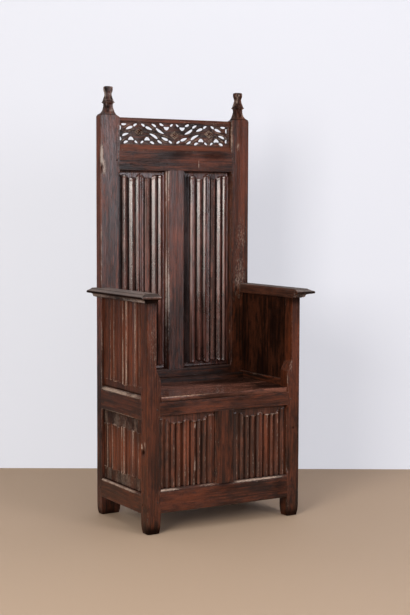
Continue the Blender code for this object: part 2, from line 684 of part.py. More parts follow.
def fold_ends(ridges, half_field, level, direction):
    """Line along which the folds stop: the middle reaches furthest, then the outermost folds."""
    edges = [(a + b) / 2 for a, b in zip(ridges, ridges[1:])]
    edges = [-half_field - FIT] + edges + [half_field + FIT]
    lead = min(abs(ridge) for ridge in ridges) + FIT
    last = max(ridges) - FIT
    line = []
    for i, ridge in enumerate(ridges):
        drop = 0.0 if abs(ridge) < lead else 0.4 if abs(ridge) > last else 1.0
        stop = level - direction * drop * FOLD_END_STEP
        tip = FOLD_TIP if abs(ridge) < lead else 0.3 * FOLD_TIP
        line += [(edges[i], stop), (ridge, stop + direction * tip), (edges[i + 1], stop)]
    return line


def linenfold(name, face, opening, ridge_shares, margin_low, margin_high, recess):
    """A panel with folds worked on its front, held by a thin tongue on all four edges.

    opening is (left, right, bottom, top) of the frame's opening along the face.
    """
    left, right, bottom, top = opening
    middle = (left + right) / 2
    half = (right - left) / 2
    ridges = [share * half for share in ridge_shares]
    half_field = half - FOLD_SIDE_MARGIN
    ground = recess + FOLD_HEIGHT
    back = ground + PANEL_GROUND
    reach = half + PANEL_TONGUE
    section = fold_section(ridges, half_field, recess)
    section += [(reach, ground), (reach, back), (-reach, back), (-reach, ground)]
    outline = [on_face(face, middle + u, depth) for u, depth in section]
    panel = prism(name, outline, "Z", bottom - PANEL_TONGUE, top + PANEL_TONGUE, "panel")
    axis = "Y" if face in ("front", "back") else "X"
    along = axis != "Y"
    near = on_face(face, 0.0, recess - FOLD_HEIGHT)[0 if along else 1]
    far = on_face(face, 0.0, ground + FIT)[0 if along else 1]
    for label, level, direction, limit in (
        ("upper_end", top - margin_high, 1, top + 2 * PANEL_TONGUE),
        ("lower_end", bottom + margin_low, -1, bottom - 2 * PANEL_TONGUE),
    ):
        line = fold_ends(ridges, half_field, level, direction)
        line += [(half_field + FIT, limit), (-half_field - FIT, limit)]
        line = [(middle + u, z) for u, z in line]
        cut(panel, prism(name + "_" + label, line, axis, *sorted((near, far))), "MANIFOLD")
    return panel


def mirrored(shares):
    """Ridge places of a whole panel from those of its right half."""
    return [-s for s in reversed(shares) if s > 0] + list(shares)


BACK_RIDGES = mirrored((0.0, 0.24, 0.45, 0.77))
FRONT_RIDGES = mirrored((0.0, 0.24, 0.46, 0.70, 0.88))
SIDE_UPPER_RIDGES = mirrored((0.11, 0.33, 0.56, 0.84))
SIDE_LOWER_RIDGES = mirrored((0.085, 0.28, 0.49, 0.88))


def teardrop(x, z, length, width, tilt, point):
    """Outline of one opening: an oval whose first end narrows as point goes from 0 to 1."""
    outline = []
    turn = math.radians(tilt)
    for i in range(OPENING_POINTS):
        t = 2 * math.pi * (i + 0.5) / OPENING_POINTS
        u = -length / 2 * math.cos(t)
        taper = 1 - point * (1 + math.cos(t)) / 2
        v = width / 2 * math.sin(t) * taper
        across = u * math.cos(turn) - v * math.sin(turn)
        up = u * math.sin(turn) + v * math.cos(turn)
        outline.append((x + across, z + up))
    return outline


# Openings to the right of a rosette: x, z, length, width, tilt in degrees, sharpness of the upper end
FRIEZE_OPENINGS = (
    (0.019, 0.0305, 0.017, 0.008, -40, 0.2),
    (0.045, 0.0200, 0.030, 0.011, -27, 0.0),
    (0.0345, -0.0210, 0.024, 0.011, 0, 0.0),
    (0.016, -0.0320, 0.014, 0.009, 40, 0.2),
    (0.058, -0.0330, 0.019, 0.009, -30, 0.3),
)
FRIEZE_MIDDLE_OPENINGS = ((0.066, 0.0300, 0.017, 0.010, -35, 0.5), (0.059, -0.0090, 0.034, 0.012, -30, 0.6))
FRIEZE_END_OPENINGS = ((0.066, 0.0310, 0.018, 0.011, -20, 0.5), (0.060, -0.0090, 0.028, 0.012, -30, 0.6))


def pierced_frieze(name):
    """The board above the back, pierced with tracery around three rosettes."""
    front = BACK_Y + FRIEZE_RECESS
    rear = front + FRIEZE_THICKNESS
    low, high = frieze_tongue()
    half = REAR_POST_INNER - FIT
    board = box(name, (-half, front, BACK_LIP_Z - FRIEZE_TONGUE), (half, rear, REAR_POST_HEIGHT), "frame")
    reach = high[0]
    join(board, box(name + "_tongues", (-reach, low[1] + FIT, low[2]), (reach, high[1] - FIT, high[2])))
    pitch = (2 * half - 2 * FRIEZE_END_MARGIN) / FRIEZE_UNITS
    zone_low = BACK_LIP_Z
    zone_high = REAR_POST_HEIGHT - FRIEZE_BORDER
    middle_z = (zone_low + zone_high) / 2
    stretch = pitch / TRACERY_DRAWN_PITCH
    rise = (zone_high - zone_low) / TRACERY_DRAWN_HEIGHT
    for unit in range(FRIEZE_UNITS):
        centre = (unit - (FRIEZE_UNITS - 1) / 2) * pitch
        flip = -1 if unit % 2 else 1
        for hand in (-1, 1):
            at_end = (unit == 0 and hand < 0) or (unit == FRIEZE_UNITS - 1 and hand > 0)
            extra = FRIEZE_END_OPENINGS if at_end else FRIEZE_MIDDLE_OPENINGS
            for number, (x, z, length, width, tilt, point) in enumerate(FRIEZE_OPENINGS + extra):
                outline = teardrop(x * stretch, z * rise, length * stretch, width * rise, tilt, point)
                outline = [(centre + hand * px, middle_z + flip * pz) for px, pz in outline]
                label = f"{name}_opening_{unit}_{hand + 1}_{number}"
                cut(board, prism(label, outline, "Y", front - FRIEZE_THICKNESS, rear + FRIEZE_THICKNESS))
        ring = [(ROSETTE_HALF, 0.0), (0.0, ROSETTE_HALF), (-ROSETTE_HALF, 0.0), (0.0, -ROSETTE_HALF)]
        diamond = [(centre + px, middle_z + pz) for px, pz in ring]
        block = prism(f"{name}_rosette_{unit}", diamond, "Y", front - ROSETTE_RELIEF, front + ROSETTE_RELIEF)
        join(board, block)
    return board


def lid_board_notches(board, label, rear_y, front_y):
    """Cut a board's front corners away round the front posts."""
    for side in (-1, 1):
        low = (FRONT_POST_INNER - LID_SIDE_GAP, front_y - FRONT_POST_DEPTH, 0.0)
        high = (HALF_WIDTH, rear_y + LID_SIDE_GAP, SIDE_INNER_TOP_Z)
        cut_box(board, f"{label}_{side + 1}", *sided(side, low, high))


def arc(y, z, radius, start, end, steps):
    points = []
    for i in range(steps + 1):
        angle = math.radians(start + (end - start) * i / steps)
        points.append((y + radius * math.cos(angle), z + radius * math.sin(angle)))
    return points


HINGE = bpy.data.objects.new("lid_hinge", None)
HINGE.location = (0.0, HINGE_Y, HINGE_Z)
PARTS.objects.link(HINGE)


def hang_on_hinge(obj):
    """Parent a lid piece to the empty on the hinge axis, where it stands."""
    bpy.context.view_layer.update()
    obj.parent = HINGE
    obj.matrix_parent_inverse = HINGE.matrix_world.inverted()


def seat_lid():
    """The lid: two boards on two battens, with a rounded nose and a rounded rear edge."""
    half = CHEST_HALF - LID_SIDE_GAP
    r = LID_NOSE_RADIUS
    nose = [(LID_SPLIT_Y - FIT / 2, LID_UNDERSIDE_Z), (LID_SPLIT_Y - FIT / 2, LID_TOP_Z)]
    nose += arc(LID_FRONT_Y + r, LID_TOP_Z - r, r, 90, 180, 4)
    nose += arc(LID_FRONT_Y + r / 2, LID_UNDERSIDE_Z + r / 2, r / 2, 180, 270, 2)
    front_board = prism("seat_lid_front_board", nose, "X", -half, half, "seat")
    lid_board_notches(front_board, "post_notch", FRONT_POST_REAR_Y, LID_FRONT_Y)
    tail = [(LID_SPLIT_Y + FIT / 2, LID_TOP_Z), (LID_SPLIT_Y + FIT / 2, LID_UNDERSIDE_Z)]
    tail += arc(HINGE_Y, HINGE_Z, LID_THICKNESS / 2, -90, 90, 10)
    rear_board = prism("seat_lid_rear_board", tail, "X", -half, half, "seat")
    for side in (-1, 1):
        start = (side * (half + FIT), HINGE_Y, HINGE_Z)
        inward = (-side, 0, 0)
        depth = PIN_IN_LID + 2 * FIT
        cut(rear_board, rod(f"lid_bore_{side + 1}", start, inward, PIN_RADIUS + FIT, depth, PIN_SIDES))
    pieces = [front_board, rear_board]
    for side, word in ((-1, "left"), (1, "right")):
        outer = half - LID_BATTEN_INSET
        low = (outer - LID_BATTEN_WIDTH, FRONT_Y + FRAME_THICKNESS + LID_BATTEN_MARGIN,
               LID_UNDERSIDE_Z - FIT - LID_BATTEN_DEPTH)
        high = (outer, HINGE_Y - LID_BATTEN_MARGIN, LID_UNDERSIDE_Z - FIT)
        pieces.append(box("seat_lid_batten_" + word, *sided(side, low, high), "inside"))
    for piece in pieces:
        hang_on_hinge(piece)


def seat_fittings():
    """The fixed strip behind the lid, the lid's pins and the cleats that carry lid, strip and floor."""
    outline = [
        (SEAT_STRIP_FRONT_Y, LID_UNDERSIDE_Z), (SEAT_STRIP_FRONT_Y, HINGE_Z),
        (SEAT_STRIP_FRONT_Y + SEAT_STRIP_LEAN, LID_UNDERSIDE_Z + SEAT_STRIP_HEIGHT),
        (BACK_Y - FIT, LID_UNDERSIDE_Z + SEAT_STRIP_HEIGHT), (BACK_Y - FIT, LID_UNDERSIDE_Z),
    ]
    prism("seat_back_strip", outline, "X", FIT - CHEST_HALF, CHEST_HALF - FIT, "seat")
    for side, word in ((-1, "left"), (1, "right")):
        start = (side * (CHEST_HALF + PIN_IN_RAIL), HINGE_Y, HINGE_Z)
        length = PIN_IN_RAIL + LID_SIDE_GAP + PIN_IN_LID
        rod("lid_pivot_pin_" + word, start, (-side, 0, 0), PIN_RADIUS, length, PIN_SIDES, "iron")
        for label, top, height in (
            ("lid_cleat_", LID_UNDERSIDE_Z - FIT, CLEAT_HEIGHT),
            ("floor_cleat_", FLOOR_Z - FIT, FLOOR_CLEAT_HEIGHT),
        ):
            low = (CHEST_HALF - FIT - CLEAT_WIDTH, FRONT_POST_REAR_Y + FIT, top - height)
            high = (CHEST_HALF - FIT, BACK_Y - FIT, top)
            box(label + word, *sided(side, low, high), "inside")


def chest_floor():
    """Floor boards of the chest, laid across on the floor cleats."""
    half = CHEST_HALF - FIT
    front = FRONT_Y + FRAME_THICKNESS + FIT
    width = (BACK_Y - FIT - front) / FLOOR_BOARDS
    for i in range(FLOOR_BOARDS):
        low = (-half, front + i * width + FIT / 2, FLOOR_Z)
        high = (half, front + (i + 1) * width - FIT / 2, FLOOR_TOP_Z)
        board = box(f"chest_floor_board_{i + 1}", low, high, "inside")
        if i == 0:
            lid_board_notches(board, "post_notch", FRONT_POST_REAR_Y, front)


def peg(name, place, axis, owners):
    """A riven peg through a post and the tenon in it, with a hole for it in both."""
    for owner in owners:
        hole = rod(f"{owner.name}_{name}_hole", place, axis, PEG_RADIUS + FIT, PEG_LENGTH + FIT, PEG_SIDES)
        cut(owner, hole, "MANIFOLD")
    rod(name, place, axis, PEG_RADIUS, PEG_LENGTH, PEG_SIDES, "peg")


def tenon_middle(levels):
    bottom, face_top, _, _ = levels
    return (bottom + face_top) / 2


def cross_frame_pegs(face_y, inner, posts, rails):
    """Pegs driven from the front, one through each tenon of the given cross rails."""
    for rail, levels in rails:
        for side, word in ((-1, "left"), (1, "right")):
            place = (side * (inner + TENON_LENGTH / 2), face_y, tenon_middle(levels))
            peg(f"{rail.name}_peg_{word}", place, (0, 1, 0), (posts[side], rail))


def side_frame_pegs(side, front, rear, rails):
    """Pegs driven from outside, one through each tenon of the given side rails."""
    for rail, levels in rails:
        for post, word, y in (
            (front, "front", FRONT_POST_REAR_Y - SIDE_TENON_LENGTH / 2),
            (rear, "rear", BACK_Y + SIDE_TENON_LENGTH / 2),
        ):
            place = (side * HALF_WIDTH, y, tenon_middle(levels))
            peg(f"{rail.name}_peg_{word}", place, (-side, 0, 0), (post, rail))


def build_chair():
    back_posts = {s: rear_post("rear_post_" + w, s) for s, w in ((-1, "left"), (1, "right"))}
    front_posts = {s: front_post("front_post_" + w, s) for s, w in ((-1, "left"), (1, "right"))}
    for side, word in ((-1, "left"), (1, "right")):
        arm("arm_" + word, side)

    front = (FRONT_Y, FRAME_THICKNESS, FRONT_POST_INNER)
    seat_rail = cross_rail("front_seat_rail", *front, FRONT_SEAT_LEVELS, FRONT_GROOVE)
    bottom_rail = cross_rail("front_bottom_rail", *front, FRONT_BOTTOM_LEVELS, None, FRONT_GROOVE)
    back = (BACK_Y, BACK_FRAME_THICKNESS, REAR_POST_INNER)
    back_top = cross_rail("back_top_rail", *back, BACK_TOP_LEVELS, BACK_GROOVE, FRIEZE_GROOVE)
    back_seat = cross_rail("back_seat_rail", *back, BACK_SEAT_LEVELS, BACK_GROOVE, BACK_GROOVE)
    back_bottom = cross_rail("back_bottom_rail", *back, BACK_BOTTOM_LEVELS, None, BACK_GROOVE)

    muntin("front_muntin", FRONT_Y, FRAME_THICKNESS, FRONT_GROOVE_SET,
           FRONT_BOTTOM_RAIL_TOP, FRONT_SEAT_RAIL_Z)
    muntin("back_muntin", BACK_Y, BACK_FRAME_THICKNESS, BACK_GROOVE_SET,
           BACK_SEAT_RAIL_TOP, BACK_TOP_RAIL_Z)
    for label, face_y, low_rail, high_rail, bottom, top in (
        ("front_muntin", FRONT_Y, bottom_rail, seat_rail, FRONT_BOTTOM_RAIL_TOP, FRONT_SEAT_RAIL_Z),
        ("back_muntin", BACK_Y, back_seat, back_top, BACK_SEAT_RAIL_TOP, BACK_TOP_RAIL_Z),
    ):
        low, high = muntin_tenon(face_y, bottom, top)
        mortise(low_rail, label, low, (high[0], high[1], bottom + FIT))
        mortise(high_rail, label, (low[0], low[1], top - FIT), high)

    half_muntin = MUNTIN_WIDTH / 2
    for side, word in ((-1, "left"), (1, "right")):
        span = sorted((side * half_muntin, side * REAR_POST_INNER))
        linenfold(f"back_panel_{word}", "back", (*span, BACK_SEAT_RAIL_TOP, BACK_TOP_RAIL_Z),
                  BACK_RIDGES, BACK_FOLD_BOTTOM, BACK_FOLD_TOP, BACK_PANEL_RECESS)
        span = sorted((side * half_muntin, side * FRONT_POST_INNER))
        linenfold(f"front_panel_{word}", "front", (*span, FRONT_BOTTOM_RAIL_TOP, FRONT_SEAT_RAIL_Z),
                  FRONT_RIDGES, FRONT_FOLD_BOTTOM, FRONT_FOLD_TOP, FRONT_PANEL_RECESS)
        span = (FRONT_POST_REAR_Y, BACK_Y)
        linenfold(f"side_upper_panel_{word}", word, (*span, SIDE_LIP_Z, ARM_UNDERSIDE_Z),
                  SIDE_UPPER_RIDGES, SIDE_UPPER_FOLD_BOTTOM, SIDE_UPPER_FOLD_TOP, SIDE_PANEL_RECESS)
        linenfold(f"side_lower_panel_{word}", word, (*span, SIDE_BOTTOM_RAIL_TOP, SIDE_MID_RAIL_Z),
                  SIDE_LOWER_RIDGES, SIDE_LOWER_FOLD_BOTTOM, SIDE_LOWER_FOLD_TOP, SIDE_PANEL_RECESS)

    reach = REAR_POST_INNER + PANEL_TONGUE
    plane = BACK_Y + BACK_GROOVE_SET
    box("back_lower_panel", (-reach, plane, BACK_BOTTOM_RAIL_TOP - PANEL_TONGUE),
        (reach, plane + PANEL_GROUND, BACK_SEAT_RAIL_Z + PANEL_TONGUE), "inside")
    pierced_frieze("pierced_frieze")

    mid_rails = {}
    low_rails = {}
    for side, word in ((-1, "left"), (1, "right")):
        mid_rails[side] = side_rail(
            "side_mid_rail_" + word, side, SIDE_MID_LEVELS, SIDE_RAIL_THICKNESS, SIDE_GROOVE, SIDE_GROOVE)
        low_rails[side] = side_rail(
            "side_bottom_rail_" + word, side, SIDE_BOTTOM_LEVELS, SIDE_RAIL_THICKNESS, None, SIDE_GROOVE)
        start = (side * (CHEST_HALF + PIN_IN_RAIL + FIT), HINGE_Y, HINGE_Z)
        depth = PIN_IN_RAIL + 2 * FIT
        hole = rod(f"pin_hole_{side + 1}", start, (-side, 0, 0), PIN_RADIUS + FIT, depth, PIN_SIDES)
        cut(mid_rails[side], hole)

    seat_lid()
    seat_fittings()
    chest_floor()
    cross_frame_pegs(
        FRONT_Y, FRONT_POST_INNER, front_posts,
        ((seat_rail, FRONT_SEAT_LEVELS), (bottom_rail, FRONT_BOTTOM_LEVELS)))
    cross_frame_pegs(
        BACK_Y, REAR_POST_INNER, back_posts,
        ((back_top, BACK_TOP_LEVELS), (back_seat, BACK_SEAT_LEVELS), (back_bottom, BACK_BOTTOM_LEVELS)))
    for side in (-1, 1):
        side_frame_pegs(
            side, front_posts[side], back_posts[side],
            ((mid_rails[side], SIDE_MID_LEVELS), (low_rails[side], SIDE_BOTTOM_LEVELS)))


build_chair()
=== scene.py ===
import math

import bmesh
import bpy
import numpy as np
from mathutils import Matrix, Vector


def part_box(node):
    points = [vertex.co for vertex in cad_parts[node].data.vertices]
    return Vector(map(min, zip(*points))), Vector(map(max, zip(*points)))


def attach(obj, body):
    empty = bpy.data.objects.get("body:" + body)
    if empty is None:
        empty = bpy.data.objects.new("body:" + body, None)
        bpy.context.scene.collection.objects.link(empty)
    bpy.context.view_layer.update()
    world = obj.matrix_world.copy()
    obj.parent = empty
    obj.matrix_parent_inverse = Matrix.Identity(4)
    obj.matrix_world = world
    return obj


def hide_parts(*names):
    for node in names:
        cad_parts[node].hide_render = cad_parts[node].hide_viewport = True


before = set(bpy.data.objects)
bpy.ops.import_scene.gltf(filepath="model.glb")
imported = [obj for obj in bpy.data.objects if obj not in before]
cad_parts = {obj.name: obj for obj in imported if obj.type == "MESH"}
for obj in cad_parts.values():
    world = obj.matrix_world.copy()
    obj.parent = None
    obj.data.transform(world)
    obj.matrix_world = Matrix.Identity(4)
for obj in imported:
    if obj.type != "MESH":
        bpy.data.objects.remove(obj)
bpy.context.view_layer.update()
scene = bpy.context.scene
mm = 0.001
sides = ((-1, "left"), (1, "right"))
print("frame loaded:", len(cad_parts), "nodes")


# Levels and places that the joiner would mark on a rod, in metres
rod = {
    "outer": 0.330, "frontY": -0.1895, "frontPostRear": -0.1375, "backY": 0.1855, "rearY": 0.2275,
    "frontInner": 0.274, "rearInner": 0.248, "upperInner": 0.292,
    "postTop": 1.524, "armUnder": 0.840, "halfMuntin": 0.0415,
}


photoCamera = {
    "place": (-2.5357, -4.3489, 1.1943),
    "yaw": 0.5312, "pitchDown": 0.0777, "roll": 0.0032,  # radians
    "lens": 77.55, "sensor": 36.0,  # mm, sensor along the tall side
}


def makeCamera(plan):
    yaw, pitch, roll = plan["yaw"], plan["pitchDown"], plan["roll"]
    forward = Vector((math.sin(yaw) * math.cos(pitch), math.cos(yaw) * math.cos(pitch), -math.sin(pitch)))
    right = Vector((math.cos(yaw), -math.sin(yaw), 0.0))
    up = right.cross(forward)
    tiltRight = right * math.cos(roll) + up * math.sin(roll)
    tiltUp = up * math.cos(roll) - right * math.sin(roll)
    turn = Matrix((tiltRight, tiltUp, -forward)).transposed().to_4x4()
    data = bpy.data.cameras.new("photoCamera")
    data.lens = plan["lens"]
    data.sensor_width = plan["sensor"]
    camera = bpy.data.objects.new("photoCamera", data)
    camera.matrix_world = Matrix.Translation(plan["place"]) @ turn
    scene.collection.objects.link(camera)
    scene.camera = camera
    return forward


lookAlong = makeCamera(photoCamera)
print("camera set")


def srgb(code):  # "#rrggbb" to linear colour
    parts = [int(code[i:i + 2], 16) / 255 for i in (1, 3, 5)]
    return tuple(p / 12.92 if p <= 0.04045 else ((p + 0.055) / 1.055) ** 2.4 for p in parts) + (1.0,)


def add(tree, kind, settings, inputs):  # one node, with its settings, values and links
    node = tree.nodes.new(kind)
    for key, value in settings.items():
        setattr(node, key, value)
    for key, value in inputs.items():
        socket = node.inputs[key]
        if isinstance(value, bpy.types.NodeSocket):
            tree.links.new(value, socket)
        else:
            socket.default_value = value
    return node


def startMaterial(name):
    material = bpy.data.materials.new(name)
    material.use_nodes = True
    tree = material.node_tree
    tree.nodes.clear()
    return material, tree


def perSize(alongMm, acrossMm):  # pattern scale from real sizes in mm along and across the grain
    return (1000 / alongMm, 1000 / acrossMm, 1000 / acrossMm)


# Oak darkened by age and waxed for centuries: red-brown heart, near black in pores and stains, dry and pale where an
# arris is rubbed, with a soft wax gloss that is sharper where hands and cloth pass. The same pale paints highlights in
# places.
oakFinishes = {
    "frame": {
        "name": "wax-polished aged oak", "deep": "#140a06", "heart": "#3c1f12", "ruddy": "#562b19",
        "red": "#70351b", "worn": "#b49e8d", "grimeAndShade": "#110906", "dustAndSheen": "#8a7f7a",
        "rough": (0.30, 0.42), "bump": 0.85, "dustAndSheenAmount": 0.04, "gloss": 0.26,
    },
    # a lighter copy of the frame oak: its lighter base paints the sheen on the left rear post and the back muntin
    "paintedSheen": {
        "name": "aged oak waxed, lighter for painted sheen", "deep": "#1d100c", "heart": "#482418", "ruddy": "#643423",
        "red": "#763a22", "worn": "#a4988f", "grimeAndShade": "#110906", "dustAndSheen": "#8a7f7a",
        "rough": (0.30, 0.40), "bump": 1.00, "dustAndSheenAmount": 0.04, "gloss": 0.48,
    },
    "panel": {
        "name": "carved wax-polished aged oak", "deep": "#1f0f09", "heart": "#442416", "ruddy": "#60321f",
        "red": "#7d3d23", "worn": "#b09a8a", "grimeAndShade": "#0b0503", "dustAndSheen": "#8a7f7a",
        "rough": (0.30, 0.40), "bump": 0.45, "dustAndSheenAmount": 0.04, "gloss": 0.42,
    },
    # a lighter copy of the panel oak: its lighter base paints the sheen on the back panels
    "backPanel": {
        "name": "carved aged oak waxed, lighter for painted sheen", "deep": "#2c1811", "heart": "#553128", "ruddy": "#704236",
        "red": "#783c24", "worn": "#b9a69a", "grimeAndShade": "#0a0403", "dustAndSheen": "#8a7f7a",
        "rough": (0.24, 0.32), "bump": 0.22, "dustAndSheenAmount": 0.04, "gloss": 0.95,
    },
    "arm": {
        "name": "arm oak blackened by hands", "deep": "#100a08", "heart": "#38231a", "ruddy": "#512f21",
        "red": "#683823", "worn": "#a2958f", "grimeAndShade": "#0b0605", "dustAndSheen": "#a2958e",
        "rough": (0.44, 0.58), "bump": 0.60, "dustAndSheenAmount": 0.22, "gloss": 0.28,
    },
    # lighter than the frame oak, partly to paint the reflections on the polished top
    "seat": {
        "name": "seat oak polished by use, lighter for painted reflection", "deep": "#38221a", "heart": "#7e4f40", "ruddy": "#975f4b",
        "red": "#82462b", "worn": "#b8977a", "grimeAndShade": "#120a07", "dustAndSheen": "#6f6765",
        "rough": (0.12, 0.24), "bump": 0.10, "dustAndSheenAmount": 0.02, "gloss": 0.58,
    },
    "inside": {
        "name": "bare aged oak from the saw", "deep": "#2b1a10", "heart": "#5b3f29", "ruddy": "#6f4e33",
        "red": "#7c5433", "worn": "#9a805f", "grimeAndShade": "#1c130d", "dustAndSheen": "#857a70",
        "rough": (0.58, 0.78), "bump": 0.45, "dustAndSheenAmount": 0.10, "gloss": 0.30,
    },
    "peg": {
        "name": "riven oak peg end grain", "deep": "#140a07", "heart": "#352016", "ruddy": "#48291c",
        "red": "#5a3020", "worn": "#8f7461", "grimeAndShade": "#0e0806", "dustAndSheen": "#6b6260",
        "rough": (0.42, 0.58), "bump": 0.35, "dustAndSheenAmount": 0.03, "gloss": 0.35,
    },
}
oakPatterns = {  # mm along the grain, mm across it, detail, roughness, distortion
    "rings": (190, 6.5, 5.0, 0.62, 0.35),   # growth rings cut along the plank
    "patches": (240, 75, 3.0, 0.55, 0.20),  # broad stains and ruddy areas
    "smoke": (46, 15, 4.0, 0.66, 0.30),     # small dark stains
    "hollows": (260, 34, 1.0, 0.50, 0.0),   # shallow tracks of the hand plane
    "pores": (30, 2.4, 2.0, 0.60, 0.0),     # real pores are 0.3 mm: drawn coarse enough to show
    "flecks": (9, 4, 3.0, 0.70, 0.0),       # breaks rubbed arrises and dust into flecks
}
oakSteps = {  # in order; a range: what, from, to, and what that gives; a sum: which two, and how
    "ruddyArea": ("patches", 0.46, 0.70, 0.0, 0.75),
    "stain": ("patches", 0.50, 0.30, 0.0, 0.70),
    "smoked": ("smoke", 0.53, 0.37, 0.0, 0.85),
    "planed": ("hollows", 0.0, 1.0, 0.0, 2.6),
    "openPore": ("pores", 0.56, 0.72, 0.0, 0.60),
    "poreDepth": ("pores", 0.56, 0.72, 0.0, 0.50),
    "fleckShift": ("flecks", 0.25, 0.75, -0.42, 0.42),
    "dustFleck": ("flecks", 0.30, 0.70, 0.35, 1.0),
    "dirtAndShadeShift": ("patches", 0.30, 0.70, 0.10, -0.10),
    "redFibre": ("rings", 0.36, 0.62, 0.45, 1.0),
    "nick": ("flecks", 0.56, 0.70, 0.0, 0.70),
    "dirtyAndShaded": ("grimeAndShade", "dirtAndShadeShift", "ADD"),
    "dirtAndShade": ("dirtyAndShaded", 0.10, 0.95, 0.0, 0.92),
    "wearAndHighlightFlecked": ("wearAndHighlight", "fleckShift", "ADD"),
    "pale": ("wearAndHighlightFlecked", 0.30, 0.95, 0.0, 0.90),
    "reddened": ("thin", "redFibre", "MULTIPLY"),
    "fibre": ("rings", "poreDepth", "SUBTRACT"),
    "relief": ("fibre", "planed", "ADD"),
}


def makeOak(look):
    material, tree = startMaterial(look["name"])
    grain = add(tree, "ShaderNodeAttribute", {"attribute_name": "grain"}, {}).outputs["Vector"]
    got = {}
    for key in ("wearAndHighlight", "grimeAndShade", "thin"):
        got[key] = add(tree, "ShaderNodeAttribute", {"attribute_name": key}, {}).outputs["Fac"]
    for key, (alongMm, acrossMm, detail, roughness, distortion) in oakPatterns.items():
        at = add(tree, "ShaderNodeVectorMath", {"operation": "MULTIPLY"}, {0: grain, 1: perSize(alongMm, acrossMm)})
        got[key] = add(tree, "ShaderNodeTexNoise", {}, {
            "Vector": at.outputs[0], "Scale": 1.0, "Detail": detail, "Roughness": roughness,
            "Distortion": distortion}).outputs["Fac"]
    for key, step in oakSteps.items():
        if len(step) == 3:
            node = add(tree, "ShaderNodeMath", {"operation": step[2]}, {0: got[step[0]], 1: got[step[1]]})
        else:
            source, low, high, toLow, toHigh = step
            node = add(tree, "ShaderNodeMapRange", {}, {
                "Value": got[source], "From Min": low, "From Max": high, "To Min": toLow, "To Max": toHigh})
        got[key] = node.outputs[0]
    ramp = add(tree, "ShaderNodeValToRGB", {}, {"Fac": got["rings"]})
    stops = ramp.color_ramp.elements
    stops[0].position, stops[0].color = 0.40, srgb(look["deep"])
    stops[1].position, stops[1].color = 0.61, srgb(look["ruddy"])
    stops.new(0.50).color = srgb(look["heart"])

    # dust, with painted sheen, lies on what faces up; dirt and painted shade in the corners; pale flecks on the rubbed
    # arrises and on painted highlights
    facing = add(tree, "ShaderNodeNewGeometry", {}, {}).outputs["Normal"]
    upward = add(tree, "ShaderNodeSeparateXYZ", {}, {"Vector": facing}).outputs["Z"]
    upFacingDustAndSheen = add(tree, "ShaderNodeMapRange", {}, {
        "Value": upward, "From Min": 0.2, "From Max": 0.9, "To Min": 0.0, "To Max": look["dustAndSheenAmount"] * 2.5})
    dustAndSheen = add(tree, "ShaderNodeMath", {"operation": "MULTIPLY"}, {0: upFacingDustAndSheen.outputs[0], 1: got["dustFleck"]})
    got["dustAndSheen"] = dustAndSheen.outputs[0]
    tone = ramp.outputs["Color"]
    for amount, colour in (("ruddyArea", "ruddy"), ("stain", "deep"), ("smoked", "deep"), ("reddened", "red"),
                           ("openPore", "grimeAndShade"), ("nick", "grimeAndShade"), ("dustAndSheen", "dustAndSheen"), ("pale", "worn")):
        tone = add(tree, "ShaderNodeMix", {"data_type": "RGBA"}, {
            "Factor": got[amount], 6: tone, 7: srgb(look[colour])}).outputs[2]
    polished, dull = look["rough"]
    waxed = add(tree, "ShaderNodeMapRange", {}, {
        "Value": got["patches"], "From Min": 0.35, "From Max": 0.65, "To Min": polished, "To Max": dull})
    rough = add(tree, "ShaderNodeMath", {"operation": "MULTIPLY_ADD"}, {
        0: got["pale"], 1: 0.20, 2: waxed.outputs["Result"]})  # rubbed wood has lost its wax
    bump = add(tree, "ShaderNodeBump", {}, {"Strength": look["bump"], "Distance": 0.0008, "Height": got["relief"]})
    shader = add(tree, "ShaderNodeBsdfPrincipled", {}, {
        "Base Color": tone, "Roughness": rough.outputs[0], "Normal": bump.outputs["Normal"],
        "IOR": 1.5, "Specular IOR Level": look["gloss"]})
    dullDirtAndShade = add(tree, "ShaderNodeBsdfDiffuse", {}, {"Color": srgb(look["grimeAndShade"])})  # old dirt and painted shade have no gloss
    surface = add(tree, "ShaderNodeMixShader", {}, {
        "Fac": got["dirtAndShade"], 1: shader.outputs["BSDF"], 2: dullDirtAndShade.outputs["BSDF"]})
    add(tree, "ShaderNodeOutputMaterial", {}, {"Surface": surface.outputs["Shader"]})
    return material


oak = {key: makeOak(look) for key, look in oakFinishes.items()}


# Forged iron, blackened by the fire and by handling: dark, uneven, with dull brown rust in the pits
forgedIron = {"name": "blackened wrought iron", "scale": "#2b2928", "rust": "#3d241a", "rough": (0.42, 0.68),
              "pits": (9, 5)}  # mm along and across


def makeIron(look):
    material, tree = startMaterial(look["name"])
    grain = add(tree, "ShaderNodeAttribute", {"attribute_name": "grain"}, {}).outputs["Vector"]
    at = add(tree, "ShaderNodeVectorMath", {"operation": "MULTIPLY"}, {0: grain, 1: perSize(*look["pits"])})
    pits = add(tree, "ShaderNodeTexNoise", {}, {"Vector": at.outputs[0], "Scale": 1.0, "Detail": 4.0}).outputs["Fac"]
    tone = add(tree, "ShaderNodeMix", {"data_type": "RGBA"}, {
        "Factor": pits, 6: srgb(look["scale"]), 7: srgb(look["rust"])})
    worked, rusted = look["rough"]
    rough = add(tree, "ShaderNodeMapRange", {}, {
        "Value": pits, "From Min": 0.3, "From Max": 0.7, "To Min": worked, "To Max": rusted})
    bump = add(tree, "ShaderNodeBump", {}, {"Strength": 0.5, "Distance": 0.0004, "Height": pits})
    shader = add(tree, "ShaderNodeBsdfPrincipled", {}, {
        "Base Color": tone.outputs[2], "Metallic": 1.0, "Roughness": rough.outputs["Result"],
        "Normal": bump.outputs["Normal"]})
    add(tree, "ShaderNodeOutputMaterial", {}, {"Surface": shader.outputs["BSDF"]})
    return material


